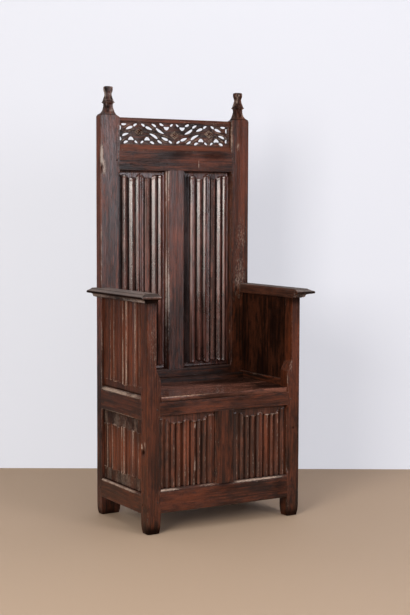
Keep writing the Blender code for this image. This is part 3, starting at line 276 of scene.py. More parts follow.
iron = makeIron(forgedIron)
print("materials:", len(bpy.data.materials))


def smoothNoise(points, size):  # lattice noise from -1 to 1, with features of the given size in metres
    q = points / np.asarray(size, float) + 1000.0
    cell = np.floor(q).astype(np.int64)
    f = q - cell
    f = f * f * (3 - 2 * f)
    total = np.zeros(len(points))
    for i in (0, 1):
        for j in (0, 1):
            for k in (0, 1):
                h = (cell[:, 0] + i) * 374761393 + (cell[:, 1] + j) * 668265263 + (cell[:, 2] + k) * 362437
                h = (h ^ (h >> 13)) * 1274126177
                h = ((h ^ (h >> 16)) & 0xFFFF) / 32767.5 - 1.0
                total += (h * (f[:, 0] if i else 1 - f[:, 0]) * (f[:, 1] if j else 1 - f[:, 1])
                          * (f[:, 2] if k else 1 - f[:, 2]))
    return total


# Marks on the wood, some of them painted shade or painted highlight as noted: where, how large per axis and how deep in
# mm, how pale, how dark
marks = {
    "front_post_left": (
        ((-330, -152, 299), (20, 10, 11), 6, 0, 1), ((-330, -142, 318), (20, 6, 11), 1.5, 1.1, 0),
        ((-330, -168, 326), (20, 2, 18), 0.8, 0.7, 0), ((-330, -189.5, 50), (3, 3, 40), 1.5, 0.6, 0),
        ((-302, -189.5, 2), (60, 40, 30), 1, 0, 0.95), ((-302, -189.5, 845), (60, 40, 16), 0, 0, 0.7),
        # painted highlight: the sheen on the upper front of the post
        ((-300, -189.5, 700), (34, 20, 110), 0, 0.26, 0),
    ),
    "front_post_right": (
        ((302, -189.5, 343), (4.5, 10, 4.5), 1.2, 0, 1), ((302, -189.5, 2), (60, 40, 26), 1, 0, 0.9),
        ((302, -189.5, 840), (60, 40, 24), 0, 0, 0.85), ((274, -189.5, 530), (3, 3, 30), 0.5, 0.6, 0),
    ),
    "rear_post_left": (
        ((-327, 185.5, 1375), (7, 10, 45), 3, 1.2, 0), ((-316, 185.5, 1335), (8, 8, 28), 2.5, 0.9, 0),
        # the last mark on this line and the first on the next are painted shade on the rear foot
        ((-323, 185.5, 1332), (5, 8, 15), 3, 0, 0.95), ((-289, 206.5, 3), (60, 40, 30), 1, 0, 0.9),
        ((-280, 185.5, 35), (60, 20, 50), 0, 0, 0.6), ((-330, 206.5, 280), (10, 60, 260), 0, 0, 0.45),
        # wear with painted sheen along the inner arris
        ((-254, 185.5, 1430), (8, 10, 110), 0.3, 0.3, 0),
    ),
    "rear_post_right": (
        ((289, 206.5, 3), (60, 40, 30), 1, 0, 0.9), ((281, 185.5, 1424), (4, 8, 20), 0.8, 0.8, 0),
        ((250, 187.5, 1455), (5, 10, 80), 0.3, 0.55, 0), ((290, 185.5, 905), (30, 10, 100), 0.4, 0.36, 0),
        ((296, 185.5, 1070), (24, 10, 90), 0.3, 0.3, 0),
    ),
    "front_panel_left": (
        ((-123.5, -176, 238), (4.8, 20, 22), 1.2, 1.4, 0), ((-124, -176, 383), (4.5, 20, 9), 0.8, 1.25, 0),
    ),
    "back_top_rail": (
        ((-160, 185.5, 1360), (80, 20, 30), 0, 0, 0.3), ((10, 185.5, 1388), (50, 20, 12), 0, 0, 0.6),
        ((170, 185.5, 1385), (60, 20, 16), 0, 0, 0.7), ((98, 185.5, 1350), (1.6, 10, 13), 0.4, 0.9, 0),
    ),
    "front_bottom_rail": (
        ((0, -189.5, 162), (40, 20, 8), 0, 0, 0.95), ((245, -189.5, 120), (40, 20, 40), 0, 0, 0.45),
        ((10, -189.5, 140), (60, 20, 16), 0, 0, 0.4),
    ),
    "front_seat_rail": (
        ((-235, -189.5, 458), (75, 20, 30), 0, 0, 0.42), ((30, -189.5, 470), (110, 20, 8), 0, 0, 0.45),
    ),
    "front_muntin": (((26, -189.5, 225), (18, 20, 70), 0, 0, 0.4),),
    "arm_right": (((330, 0, 877), (80, 300, 10), 0, 0, 0.26),),
    "seat_back_strip": (((0, 168, 510), (600, 50, 50), 0, 0, 0.6),),
    "seat_lid_front_board": (
        # the first mark is painted shade on the lid's front face under the nose
        ((0, -188.5, 488.5), (900, 3.5, 12), 0, 0, 0.8), ((250, -90, 500.3), (80, 120, 10), 0, 0, 0.78),
        # the nose paler at the left: wear with painted highlight
        ((-190, -187.8, 500.3), (150, 2.2, 2.2), 0.3, 0.85, 0),
    ),
    "seat_lid_rear_board": (((190, 70, 500.3), (180, 80, 10), 0, 0, 0.78),),
    "side_mid_rail_left": (((-330, 20, 413.5), (4, 150, 3.5), 0.8, 0.65, 0),),
}


# Places where the stain has worn thin and the red heart shows: where and how large per axis in mm, how much
thinStain = {
    "back_top_rail": (((100, 186, 1365), (100, 50, 30), 0.55), ((0, 192, 1413), (500, 30, 11), 0.85)),
    "pierced_frieze": (((0, 200, 1518), (500, 50, 6), 0.85),),
    "back_muntin": (((0, 186, 1075), (50, 50, 50), 0.8), ((0, 186, 1100), (60, 50, 220), 0.35)),
    "rear_post_right": (((300, 186, 1330), (30, 50, 240), 0.85),),
    "rear_post_left": (((-300, 186, 1450), (12, 50, 120), 0.35), ((-330, 205, 1100), (6, 30, 420), 0.5)),
    "front_post_left": (
        ((-300, -190, 450), (50, 50, 250), 0.3), ((-300, -190, 720), (50, 50, 100), 0.4),
        ((-330, -145, 200), (10, 12, 100), 0.6), ((-330, -165, 480), (10, 30, 300), 0.45),
    ),
    "front_post_right": (((302, -190, 620), (50, 50, 250), 0.4),),
    "front_panel_left": (((-165, -175, 300), (45, 50, 120), 0.6),),
    "front_panel_right": (((195, -175, 310), (45, 50, 110), 0.55),),
    "front_muntin": (((-8, -190, 300), (20, 50, 140), 0.25),),
    "front_seat_rail": (((100, -190, 455), (220, 50, 30), 0.3),),
    "front_bottom_rail": (((-150, -190, 120), (200, 50, 50), 0.35),),
    "side_upper_panel_left": (((-315, 20, 660), (50, 200, 160), 0.45),),
    "side_lower_panel_left": (((-315, 0, 280), (50, 140, 70), 0.8),),
    "side_mid_rail_left": (((-330, 0, 455), (20, 130, 40), 0.35),),
    "arm_right": (((292, 20, 858), (10, 200, 30), 0.55),),
    "side_bottom_rail_left": (((-330, 0, 105), (20, 160, 50), 0.3),),
}


def spot(place, at, size):  # 1 at the given place, fading out over the given size, both in mm
    return np.exp(-(((place / mm - at) / size) ** 2).sum(1))


def crosswise(axis):  # the two directions across a piece
    return [i for i in range(3) if i != axis]


# Unevenness of old wood: its size in metres along and across the grain, how far apart two pieces lie in the
# pattern, and the angle in degrees above which an edge stays crisp
weathering = {
    "broad": (0.30, 0.06, 0.06), "coarse": (0.11, 0.03, 0.03), "fine": (0.026, 0.011, 0.011),
    "nextPiece": (0.171, 0.0537, 0.0291), "crisp": 38,
}


def makePiece(name, verts, faces, rub, axis, material, wander, arris, grimeAndShade=None,
              body="chair_frame", closed=True):
    # axis is the way the grain runs; the pale amount says where hands, cloth and brooms have rubbed, and where a
    # highlight is painted
    mesh = bpy.data.meshes.new(name)
    mesh.from_pydata([tuple(v) for v in verts], [], faces)
    if closed:
        bm = bmesh.new()
        bm.from_mesh(mesh)
        bmesh.ops.recalc_face_normals(bm, faces=bm.faces)
        bm.to_mesh(mesh)
        bm.free()
    mesh.update()
    count = len(mesh.vertices)
    flat = np.empty(count * 3, np.float32)
    mesh.vertices.foreach_get("co", flat)
    place = flat.reshape(-1, 3).astype(float)
    mesh.vertex_normals.foreach_get("vector", flat)
    normal = flat.reshape(-1, 3).astype(float)
    seed = sum((i + 1) * ord(c) for i, c in enumerate(name)) % 997
    grain = place[:, [axis] + crosswise(axis)] + np.array(weathering["nextPiece"]) * seed
    rub = np.asarray(rub, float)
    grimeAndShade = np.zeros(count) if grimeAndShade is None else np.asarray(grimeAndShade, float)
    broad, coarse, fine = [smoothNoise(grain, weathering[key]) for key in ("broad", "coarse", "fine")]
    shift = wander * 0.6 * (broad + 0.35 * fine - 1.35)  # wood is only lost
    shift -= arris * rub * (0.3 + np.clip(coarse + 0.6 * fine, 0, 1) * 1.4)
    wearAndHighlight = rub * np.clip(0.70 + 0.75 * coarse + 0.40 * fine, 0, 1.2)
    for at, size, depth, pale, dark in marks.get(name, ()):
        near = np.clip(spot(place, at, size) * 1.25, 0, 1)
        shift -= depth * mm * near
        wearAndHighlight = np.maximum(wearAndHighlight * (1 - dark * near), pale * near)
        grimeAndShade = np.maximum(grimeAndShade * (1 - pale * near), dark * near)
    thin = np.zeros(count)
    for at, size, amount in thinStain.get(name, ()):
        thin = np.maximum(thin, amount * spot(place, at, size))
    place += normal * shift[:, None]
    mesh.vertices.foreach_set("co", place.astype(np.float32).ravel())
    mesh.attributes.new("grain", "FLOAT_VECTOR", "POINT").data.foreach_set("vector", grain.astype(np.float32).ravel())
    for key, values in (("wearAndHighlight", wearAndHighlight), ("grimeAndShade", grimeAndShade), ("thin", thin)):
        mesh.attributes.new(key, "FLOAT", "POINT").data.foreach_set("value", values.astype(np.float32))
    mesh.polygons.foreach_set("use_smooth", [True] * len(mesh.polygons))
    mesh.set_sharp_from_angle(angle=math.radians(weathering["crisp"]))
    mesh.materials.append(material)
    piece = bpy.data.objects.new("worn_" + name, mesh)
    scene.collection.objects.link(piece)
    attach(piece, body)
    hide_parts(name)


def makeLoop(corners, spacing):
    # closed section from (a, b, radius, rub) corners; long sides get points at about the spacing
    inset, rubZone = 0.0035, 0.005  # from an arris to the next point, and how far its rubbing reaches
    points, rub = [], []
    n = len(corners)
    at = [np.array(c[:2], float) for c in corners]
    for i, (_, _, radius, amount) in enumerate(corners):
        _, _, nextRadius, nextAmount = corners[(i + 1) % n]
        back = at[i - 1] - at[i]
        ahead = at[(i + 1) % n] - at[i]
        start = at[i] + back / np.linalg.norm(back) * radius
        end = at[i] + ahead / np.linalg.norm(ahead) * radius
        for t in ((0, 0.3, 0.7, 1) if radius else (0,)):
            points.append((1 - t) ** 2 * start + 2 * t * (1 - t) * at[i] + t * t * end)
            rub.append(amount * (1 if radius == 0 or 0 < t < 1 else 0.8))
        finish = at[(i + 1) % n] - ahead / np.linalg.norm(ahead) * nextRadius
        run = np.linalg.norm(finish - end)
        if run > 1.5 * spacing:
            edge = min(inset, run / 4)
            parts = round(run / spacing)
            for k in range(parts + 1):
                t = (edge + (run - 2 * edge) * k / parts) / run
                points.append(end + (finish - end) * t)
                rub.append(0.30 * max(amount * (t * run < rubZone), nextAmount * ((1 - t) * run < rubZone)))
    return np.array(points), np.array(rub)


def steps(start, end, spacing, extra=()):  # even stations from start to end, and extra ones between them
    count = max(1, round((end - start) / spacing))
    line = [start + (end - start) * i / count for i in range(count + 1)]
    line = sorted(line + [z for z in extra if start < z < end])
    return [z for i, z in enumerate(line) if i == 0 or z - line[i - 1] > 0.0004]


def gridFaces(rows, columns):
    return [(i * columns + j, i * columns + j + 1, (i + 1) * columns + j + 1, (i + 1) * columns + j)
            for i in range(rows - 1) for j in range(columns - 1)]


def sweep(loop, stations, axis, warp=None):
    # rings of the section along an axis, closed at both ends
    n = len(loop)
    verts = np.empty((len(stations) * n, 3))
    for k, s in enumerate(stations):
        block = verts[k * n:(k + 1) * n]
        block[:, axis] = s
        block[:, crosswise(axis)] = loop if warp is None else warp(loop.copy(), s)
    faces = []
    for k in range(len(stations) - 1):
        for i in range(n):
            j = (i + 1) % n
            faces.append((k * n + i, k * n + j, (k + 1) * n + j, (k + 1) * n + i))
    faces.append(tuple(range(n)))
    faces.append(tuple(range((len(stations) - 1) * n, len(stations) * n)))
    return verts, faces


def straightMember(name, corners, stations, axis, material, spacing, wander, arris,
                   warp=None, body="chair_frame"):
    loop, rub = makeLoop(corners, spacing)
    verts, faces = sweep(loop, stations, axis, warp)
    makePiece(name, verts, faces, np.tile(rub, len(stations)), axis, material, wander, arris, body=body)


# Two-bead edge worked on posts and muntins beside the panels: mm in from the edge, mm below the face. The plain
# edge has as many points, so that one can run out into the other
beadEdge = ((7, 0), (6.8, 1.8), (6.3, 1.4), (5.2, 2.3), (4.2, 3.7), (3.6, 5.8), (3.7, 9.4), (3.1, 9.8), (1.9, 11.4),
            (0.9, 13.6), (0, 22))
plainEdge = ((7, 0), (6, 0), (5, 0), (4, 0), (3, 0), (2, 0), (1.0, 0.1), (0.3, 0.6), (0, 3), (0, 12), (0, 22))
edgeRubAndHighlight = (0.22, 0.0, 0.25, 0.25, 0.18, 0.0, 0.0, 0.25, 0.25, 0.18, 0.0)


def edgePoints(edge, inner, away, face, wide=1.0, deep=1.0, worn=1.0):
    # away: the way the member lies from its inner edge
    return [(inner + away * x * wide * mm, face + d * deep * mm, 0.0, r * worn)
            for (x, d), r in zip(edge, edgeRubAndHighlight)]


def ease(value, low, high):
    t = np.clip((value - low) / (high - low), 0, 1)
    return t * t * (3 - 2 * t)


def postSection(inner, face, rear, word, plan):
    # the section at each height: beads between two levels, plain elsewhere, the foot worn round
    outer = rod["outer"]
    middle = np.array(((inner + outer) / 2, (face + rear) / 2))
    places = ((inner, rear), (outer, rear), (outer, face))
    square = [(*at, r, rub) for at, r, rub in zip(places, plan["round"], plan["rub"][word])]
    (beaded, rub), (plain, _) = [
        makeLoop(square + edgePoints(edge, inner, 1, face, *plan["beadSize"]), plan["spacing"])
        for edge in (beadEdge, plainEdge)]
    low, high = plan["beaded"]
    runOut = 0.012
    footHeight, footLoss, footCurve = plan["foot"]

    def section(z):
        m = ease(z, low, low + runOut) * (1 - ease(z, high - runOut, high))
        ring = plain * (1 - m) + beaded * m
        worn = max(0.0, (footHeight - z) / footHeight) ** footCurve
        return middle + (ring - middle) * (1 - np.array(footLoss) * worn)

    return section, middle, beaded, rub


# Posts. round and rub: inner rear, outer rear and outer front arris; foot: height that is worn, shares lost
# across and in depth, curve; levels: heights with a section of their own
rearPost = {
    # the left post takes the lighter oak that paints sheen
    "spacing": 0.007, "along": 0.016, "wander": 0.0007, "arris": 0.0012, "finish": {"left": "paintedSheen", "right": "frame"},
    "round": (0.0028, 0.0028, 0.0028), "rub": {"left": (0.15, 0.2, 0.60), "right": (0.15, 0.2, 0.20)},
    "beaded": (0.556, 1.316), "beadSize": (1.0, 1.0), "foot": (0.03, (0.11, 0.20), 2.0),
    "levels": [0.002, 0.005, 0.010, 0.022, 0.56, 0.564, 1.304, 1.308, 1.312] + [1.30 + 0.006 * i for i in range(25)],
    # finial: share of its 116 mm, width and depth in mm
    "finial": (
        (0.0, 82, 42), (0.025, 76, 42), (0.05, 68, 42), (0.074, 61.5, 42), (0.080, 60, 39), (0.10, 55, 36),
        (0.13, 48, 33), (0.19, 40, 30), (0.26, 34.5, 27.5), (0.33, 31.5, 26), (0.39, 31, 26), (0.42, 32.5, 27),
        (0.442, 37, 30.5), (0.460, 41.5, 33), (0.478, 41, 32.5), (0.492, 37, 30), (0.54, 34, 28), (0.60, 30, 25),
        (0.64, 27, 23), (0.70, 24, 20.5), (0.75, 23.5, 20), (0.79, 25.5, 22), (0.83, 28.5, 24),
        (0.88, 30.5, 25), (0.93, 30.5, 25), (0.965, 29.5, 24.5), (0.988, 27, 22.5), (0.998, 21.5, 18),
    ),
    "finialHeight": 0.116, "leaf": (0.008, 0.008, 0.011), "leafDepth": 0.10,
    "lean": ((0.0, 0.0), (0.075, 5.5), (0.10, 2.75), (0.16, 0.0)),  # share of the height, mm outwards
    "collar": 0.465, "shadowRings": ((1.532, 1.5345), (1.5805, 1.586)),
}


def makeRearPost(side, word, plan):
    section, middle, beaded, rub = postSection(rod["rearInner"], rod["backY"], rod["rearY"], word, plan)
    top, tall = rod["postTop"], plan["finialHeight"]
    shares, widths, depths = np.array(plan["finial"]).T

    def shape(loop, z):
        ring = section(z)
        if z > top:
            share = (z - top) / tall
            size = [np.interp(share, shares, line) / line[0] for line in (widths, depths)]
            # corners softened above the shoulder, drawn out again to crockets at the collar
            reach = np.hypot(*((ring - middle) / np.array((widths[0], depths[0])) / mm * 2).T)
            corner = np.clip((reach - 1.0) / 0.414, 0, 1)
            soft = ease(share, 0.05, 0.2)
            crocket = np.exp(-((share - plan["collar"]) / 0.028) ** 2)
            swell = 1 + soft * (0.05 - 0.03 * corner * (1 - 1.3 * crocket))
            ring = middle + (ring - middle) * np.array(size) * swell[:, None]
            ring[:, 0] += np.interp(share, *zip(*plan["lean"])) * mm
        return ring * np.array((side, 1))

    halfway = (shares[7:-1] + shares[8:]) / 2
    stations = steps(0.0, top, plan["along"], plan["levels"])
    stations += [top + s * tall for s in sorted([*shares[1:], *halfway])]
    verts, faces = sweep(beaded, stations, 2, shape)
    z = verts[:, 2]
    # worn leaves cut round the finial: dark between them, grime with painted shade in the hollows, dry and pale on
    # their tips
    leaf = smoothNoise(verts, plan["leaf"])
    carved = ease(z, top + 0.012, top + 0.022)
    stem = middle * np.array((side, 1))
    verts[:, :2] += (stem - verts[:, :2]) * (plan["leafDepth"] * carved * np.clip(leaf, 0, 1))[:, None]
    dry = 0.16 + carved * (0.14 + 0.62 * np.clip(0.25 - leaf, 0, 1))
    dirtyAndShaded = 0.16 + carved * (0.14 + 0.70 * np.clip(leaf, 0, 1))
    rubAll = np.where(z > top + 0.001, dry, np.tile(rub, len(stations)))
    grimeAndShade = np.where(z > top + 0.008, dirtyAndShaded, 0.0)
    # painted shadow lines under the finial's base and under its collar
    for low, high in plan["shadowRings"]:
        grimeAndShade = np.where((z > low) & (z < high), 0.8, grimeAndShade)
    makePiece("rear_post_" + word, verts, faces, rubAll, 2, oak[plan["finish"][word]],
              plan["wander"], plan["arris"], grimeAndShade)


for side, word in sides:
    makeRearPost(side, word, rearPost)


frontPost = {
    "spacing": 0.007, "along": 0.013, "wander": 0.0007, "arris": 0.0013, "shoulder": (0.563, 0.600),
    "round": (0.0030, 0.0030, 0.0054), "rub": {"left": (0.2, 0.15, 0.12), "right": (0.2, 0.15, 0.12)},
    "beaded": (0.167, 0.427), "beadSize": (1.1, 0.8), "foot": (0.045, (0.17, 0.15), 2.2),
    "levels": [0.0015, 0.004, 0.008, 0.016, 0.022, 0.030, 0.036, 0.042, 0.171, 0.175, 0.419, 0.423,
               0.5615, 0.563, 0.565, 0.598, 0.600, 0.602]
    + [0.27 + 0.003 * i for i in range(19)] + [0.331 + 0.003 * i for i in range(9)],
}


def makeFrontPost(side, word, plan):
    inner, outer = rod["frontInner"], rod["outer"]
    face, rear = rod["frontY"], rod["frontPostRear"]
    section, _, beaded, rub = postSection(inner, face, rear, word, plan)
    low, high = plan["shoulder"]
    cutBack = (rod["upperInner"] - inner) / (outer - inner)

    def shape(loop, z):
        ring = section(z)
        slope = min(max((z - low) / (high - low), 0), 1)
        ring[:, 0] = outer - (outer - ring[:, 0]) * (1 - slope * cutBack)
        return ring * np.array((side, 1))

    stations = steps(0.0, rod["armUnder"] + 0.0015, plan["along"], plan["levels"])
    verts, faces = sweep(beaded, stations, 2, shape)
    x, y, z = verts.T
    onSlope = (np.abs(x) < rod["upperInner"] + 0.004) & (z > low - 0.005) & (z < high + 0.004)
    atEdge = np.minimum(np.abs(y - face), np.abs(y - rear)) < 0.0045
    rubAll = np.where(onSlope, np.where(atEdge, 0.85, 0.42), np.tile(rub, len(stations)))
    makePiece("front_post_" + word, verts, faces, rubAll, 2, oak["frame"], plan["wander"], plan["arris"])


for side, word in sides:
    makeFrontPost(side, word, frontPost)
print("posts made")


tenon = 0.004  # how far the rails run on into the posts
# Front and back frame: face and rear of the members, half the opening between the posts
frames = {
    "front": (rod["frontY"], rod["frontY"] + 0.034, rod["frontInner"]),
    "back": (rod["backY"], rod["backY"] + 0.040, rod["rearInner"]),
}


# Rails of front and back, mm: lower arris with height, radius and rub; upper ones with distance behind the face too
crossRails = {
    "front_seat_rail": {"low": (431, 2.0, 0.12), "high": ((0, 482, 1.2, 0.05),)},
    "front_bottom_rail": {"low": (75, 4.0, 0.22), "high": ((0, 159, 1.4, 0.88), (4.5, 163, 1.4, 0.80))},
    "back_top_rail": {"low": (1323, 1.8, 0.15), "high": ((0, 1400, 1.6, 0.22), (13.5, 1424, 1.2, 0.10)),
                      "extra": (0.095, 0.0966, 0.0994, 0.101)},  # stations for the scratch on it
    "back_seat_rail": {"low": (470, 2.0, 0.2), "high": ((0, 546, 2.0, 0.12), (3, 549, 1.5, 0.12))},
    "back_bottom_rail": {"low": (70, 3.0, 0.3), "high": ((0, 141, 3.0, 0.3), (3, 144, 2.0, 0.3))},
}


def makeCrossRail(name, plan):
    face, back, half = frames[name.split("_")[0]]
    half += tenon
    lowZ, lowRound, lowRub = plan["low"]
    corners = [(back, lowZ * mm, 0.002, 0.2), (face, lowZ * mm, lowRound * mm, lowRub)]
    corners += [(face + d * mm, z * mm, r * mm, rub) for d, z, r, rub in plan["high"]]
    corners.append((back, plan["high"][-1][1] * mm, 0.002, 0.2))
    straightMember(name, corners, steps(-half, half, 0.014, plan.get("extra", ())), 0, oak["frame"],
                   spacing=0.009, wander=0.0007, arris=0.0014)


for name, plan in crossRails.items():
    makeCrossRail(name, plan)


# Side rails, mm: in from the outer face, height, radius and rub. The middle one carries the seat, its sill sheds
# dust under the upper panel
sideRails = {
    "side_mid_rail": ((0, 413, 2.5, 0.30), (0, 492, 1.4, 0.85), (4.5, 497.5, 1.2, 0.80), (17, 505, 1.0, 0.1),
                      (25, 505, 0, 0), (25, 525, 2, 0.15), (40, 525, 2.5, 0.25), (40, 413, 2, 0.1)),
    "side_bottom_rail": ((0, 70, 4, 0.2), (0, 140, 1.4, 0.88), (4.5, 144, 1.4, 0.80), (40, 144, 2, 0.1),
                         (40, 70, 2, 0.2)),
}
for part, points in sideRails.items():
    for side, word in sides:
        corners = [(side * (rod["outer"] - d * mm), z * mm, r * mm, rub) for d, z, r, rub in points]
        stations = steps(rod["frontPostRear"] - tenon, rod["backY"] + tenon, 0.013)
        straightMember(f"{part}_{word}", corners, stations, 1, oak["frame"],
                       spacing=0.009, wander=0.0007, arris=0.0015)


# Muntins: beaded on both front edges, left and right; lap: mm that the left bead lies over the panel
muntins = {
    # the back muntin takes the lighter oak that paints sheen; its left beads are made pale by worn, wear with painted
    # sheen
    "back_muntin": {"levels": (0.546, 1.326), "beads": (1.4, 1.7), "worn": (3.6, 0.6), "deep": 1.0, "lap": 3.0,
                    "finish": "paintedSheen"},
    "front_muntin": {"levels": (0.160, 0.434), "beads": (1.7, 1.5), "worn": (0.8, 0.7), "deep": 0.8, "lap": 0.0,
                     "finish": "frame"},
}
for name, plan in muntins.items():
    face, back, _ = frames[name.split("_")[0]]
    half = rod["halfMuntin"]
    leftEdge, rightEdge = [
        edgePoints(beadEdge, inner, away, face, wide, plan["deep"], worn) for inner, away, wide, worn in zip(
            (-half - plan["lap"] * mm, half), (1, -1), plan["beads"], plan["worn"])]
    corners = [(half, back, 0.002, 0.2), (-half, back, 0.002, 0.2)] + leftEdge[::-1] + rightEdge
    straightMember(name, corners, steps(*plan["levels"], 0.016), 2, oak[plan["finish"]],
                   spacing=0.009, wander=0.0006, arris=0.0010)
print("rails and muntins made")


# Arm edge by distance in from the moulded edge, mm: top and underside heights above the arm's underside. The mesh
# has its lines across at lines, notch and inner; besidePost has those along the rear post, in metres
armEdge = {
    "top": ((0, 25.0), (1, 26.8), (3, 27.8), (6, 28.7), (10, 30.0), (14, 31.8), (18, 33.8), (19, 34.0),
            (20, 35.2), (22, 36.5), (24.5, 37.0), (80, 37.0)),
    "under": ((0, 19.8), (1, 17.9), (3, 16.8), (6, 16.0), (10, 15.4), (14, 14.8), (18, 14.0), (22, 12.6),
              (24.5, 11.0), (25.5, 9.8), (26.2, 7.2), (26.8, 4.2), (27.8, 2.6), (31, 2.0), (35, 1.6), (37, 0.3),
              (38, 0.0), (80, 0.0)),
    "lines": (0, 1, 3, 6, 10, 14, 18, 19, 20, 22, 24.5, 25.5, 26.2, 26.8, 27.8, 31, 35, 37, 38),
    "notch": 41.7, "inner": (50, 59, 68, 75, 78), "besidePost": (0.014, 0.028, 0.038, 0.0405, 0.0418),
    "wander": 0.0007, "arris": 0.0012, "sideOver": 0.042, "frontOver": 0.038, "handledAndShaded": {"left": 1.0, "right": 0.2},
}


def makeArm(side, word, plan):
    edgeX = rod["outer"] + plan["sideOver"]
    edgeY = rod["frontY"] - plan["frontOver"]
    toPost = rod["backY"] - edgeY
    width = (edgeX - rod["upperInner"]) / mm
    acrossLines = [*plan["lines"], plan["notch"], *plan["inner"], width - 0.8, width]
    beforePost = [d * mm for d in plan["lines"]] + list(np.linspace(0.05, toPost - 0.0003, 26))
    d, y = np.meshgrid(acrossLines, beforePost + [toPost + far for far in plan["besidePost"]])
    near = np.minimum(d, y / mm)
    toSquare = np.minimum(np.where(y < toPost, width - d, 99), (rod["rearY"] - edgeY - y) / mm)
    soften = 2.0 * np.maximum(0.0, 1 - toSquare / 2.2) ** 2  # the square inner and rear arris
    top = np.interp(near, *zip(*plan["top"])) * mm - soften * mm
    under = np.interp(near, *zip(*plan["under"])) * mm + 0.4 * soften * mm
    x = side * (edgeX - d * mm)
    verts = np.concatenate([
        np.stack((x, edgeY + y, rod["armUnder"] + z), -1).reshape(-1, 3) for z in (top, under)])

    # the front moulding is dark, from hands and painted shade, and bright on its edge; the outer arris and the groove
    # at the step hold grime with painted shade; under the moulding the wood is paler, wear with painted light
    handsAndShade = plan["handledAndShaded"][word] * (y / mm < np.minimum(d, 31) + 2)
    bright, black = handsAndShade * (near < 2.5), handsAndShade * (near > 2.5)
    tip = np.maximum(0, 0.85 * np.exp(-(near / 1.4) ** 2) - bright)
    step = 0.15 * ((near > 1) & (near < 18)) + 0.75 * np.exp(-((near - 19) / 1.2) ** 2)
    rubTop = 0.16 * np.exp(-((near - 23) / 2) ** 2) + 0.12 * np.exp(-(toSquare / 1.5) ** 2) + 0.64 * bright
    rubAndLightUnder = (1 - 0.8 * black) * (0.5 * ((near > 2) & (near < 22)) + 0.85 * ((near >= 22) & (near < 29)))
    rub = np.concatenate((rubTop.ravel(), rubAndLightUnder.ravel()))
    dirtAndShadeTop, dirtAndShadeUnder = np.maximum(np.maximum(tip, 0.80 * black), step), np.maximum(tip, 0.92 * black)
    dirtAndShade = np.concatenate((dirtAndShadeTop.ravel(), dirtAndShadeUnder.ravel()))

    notchRow, notchColumn = len(beforePost) - 1, len(plan["lines"])
    shift = d.size
    faces, edges = [], {}
    for quad in gridFaces(*d.shape):
        row, column = divmod(quad[0], d.shape[1])
        if row >= notchRow and column >= notchColumn:
            continue  # the rear post stands here
        faces += [quad, tuple(shift + v for v in quad[::-1])]
        for e in zip(quad, quad[1:] + quad[:1]):
            key = tuple(sorted(e))
            edges[key] = None if key in edges else e
    faces += [(e[1], e[0], shift + e[0], shift + e[1]) for e in edges.values() if e]
    used = sorted({v for f in faces for v in f})
    again = {v: i for i, v in enumerate(used)}
    faces = [tuple(again[v] for v in f) for f in faces]
    makePiece("arm_" + word, verts[used], faces, rub[used], 1, oak["arm"],
              plan["wander"], plan["arris"], dirtAndShade[used])


for side, word in sides:
    makeArm(side, word, armEdge)
print("arms made")


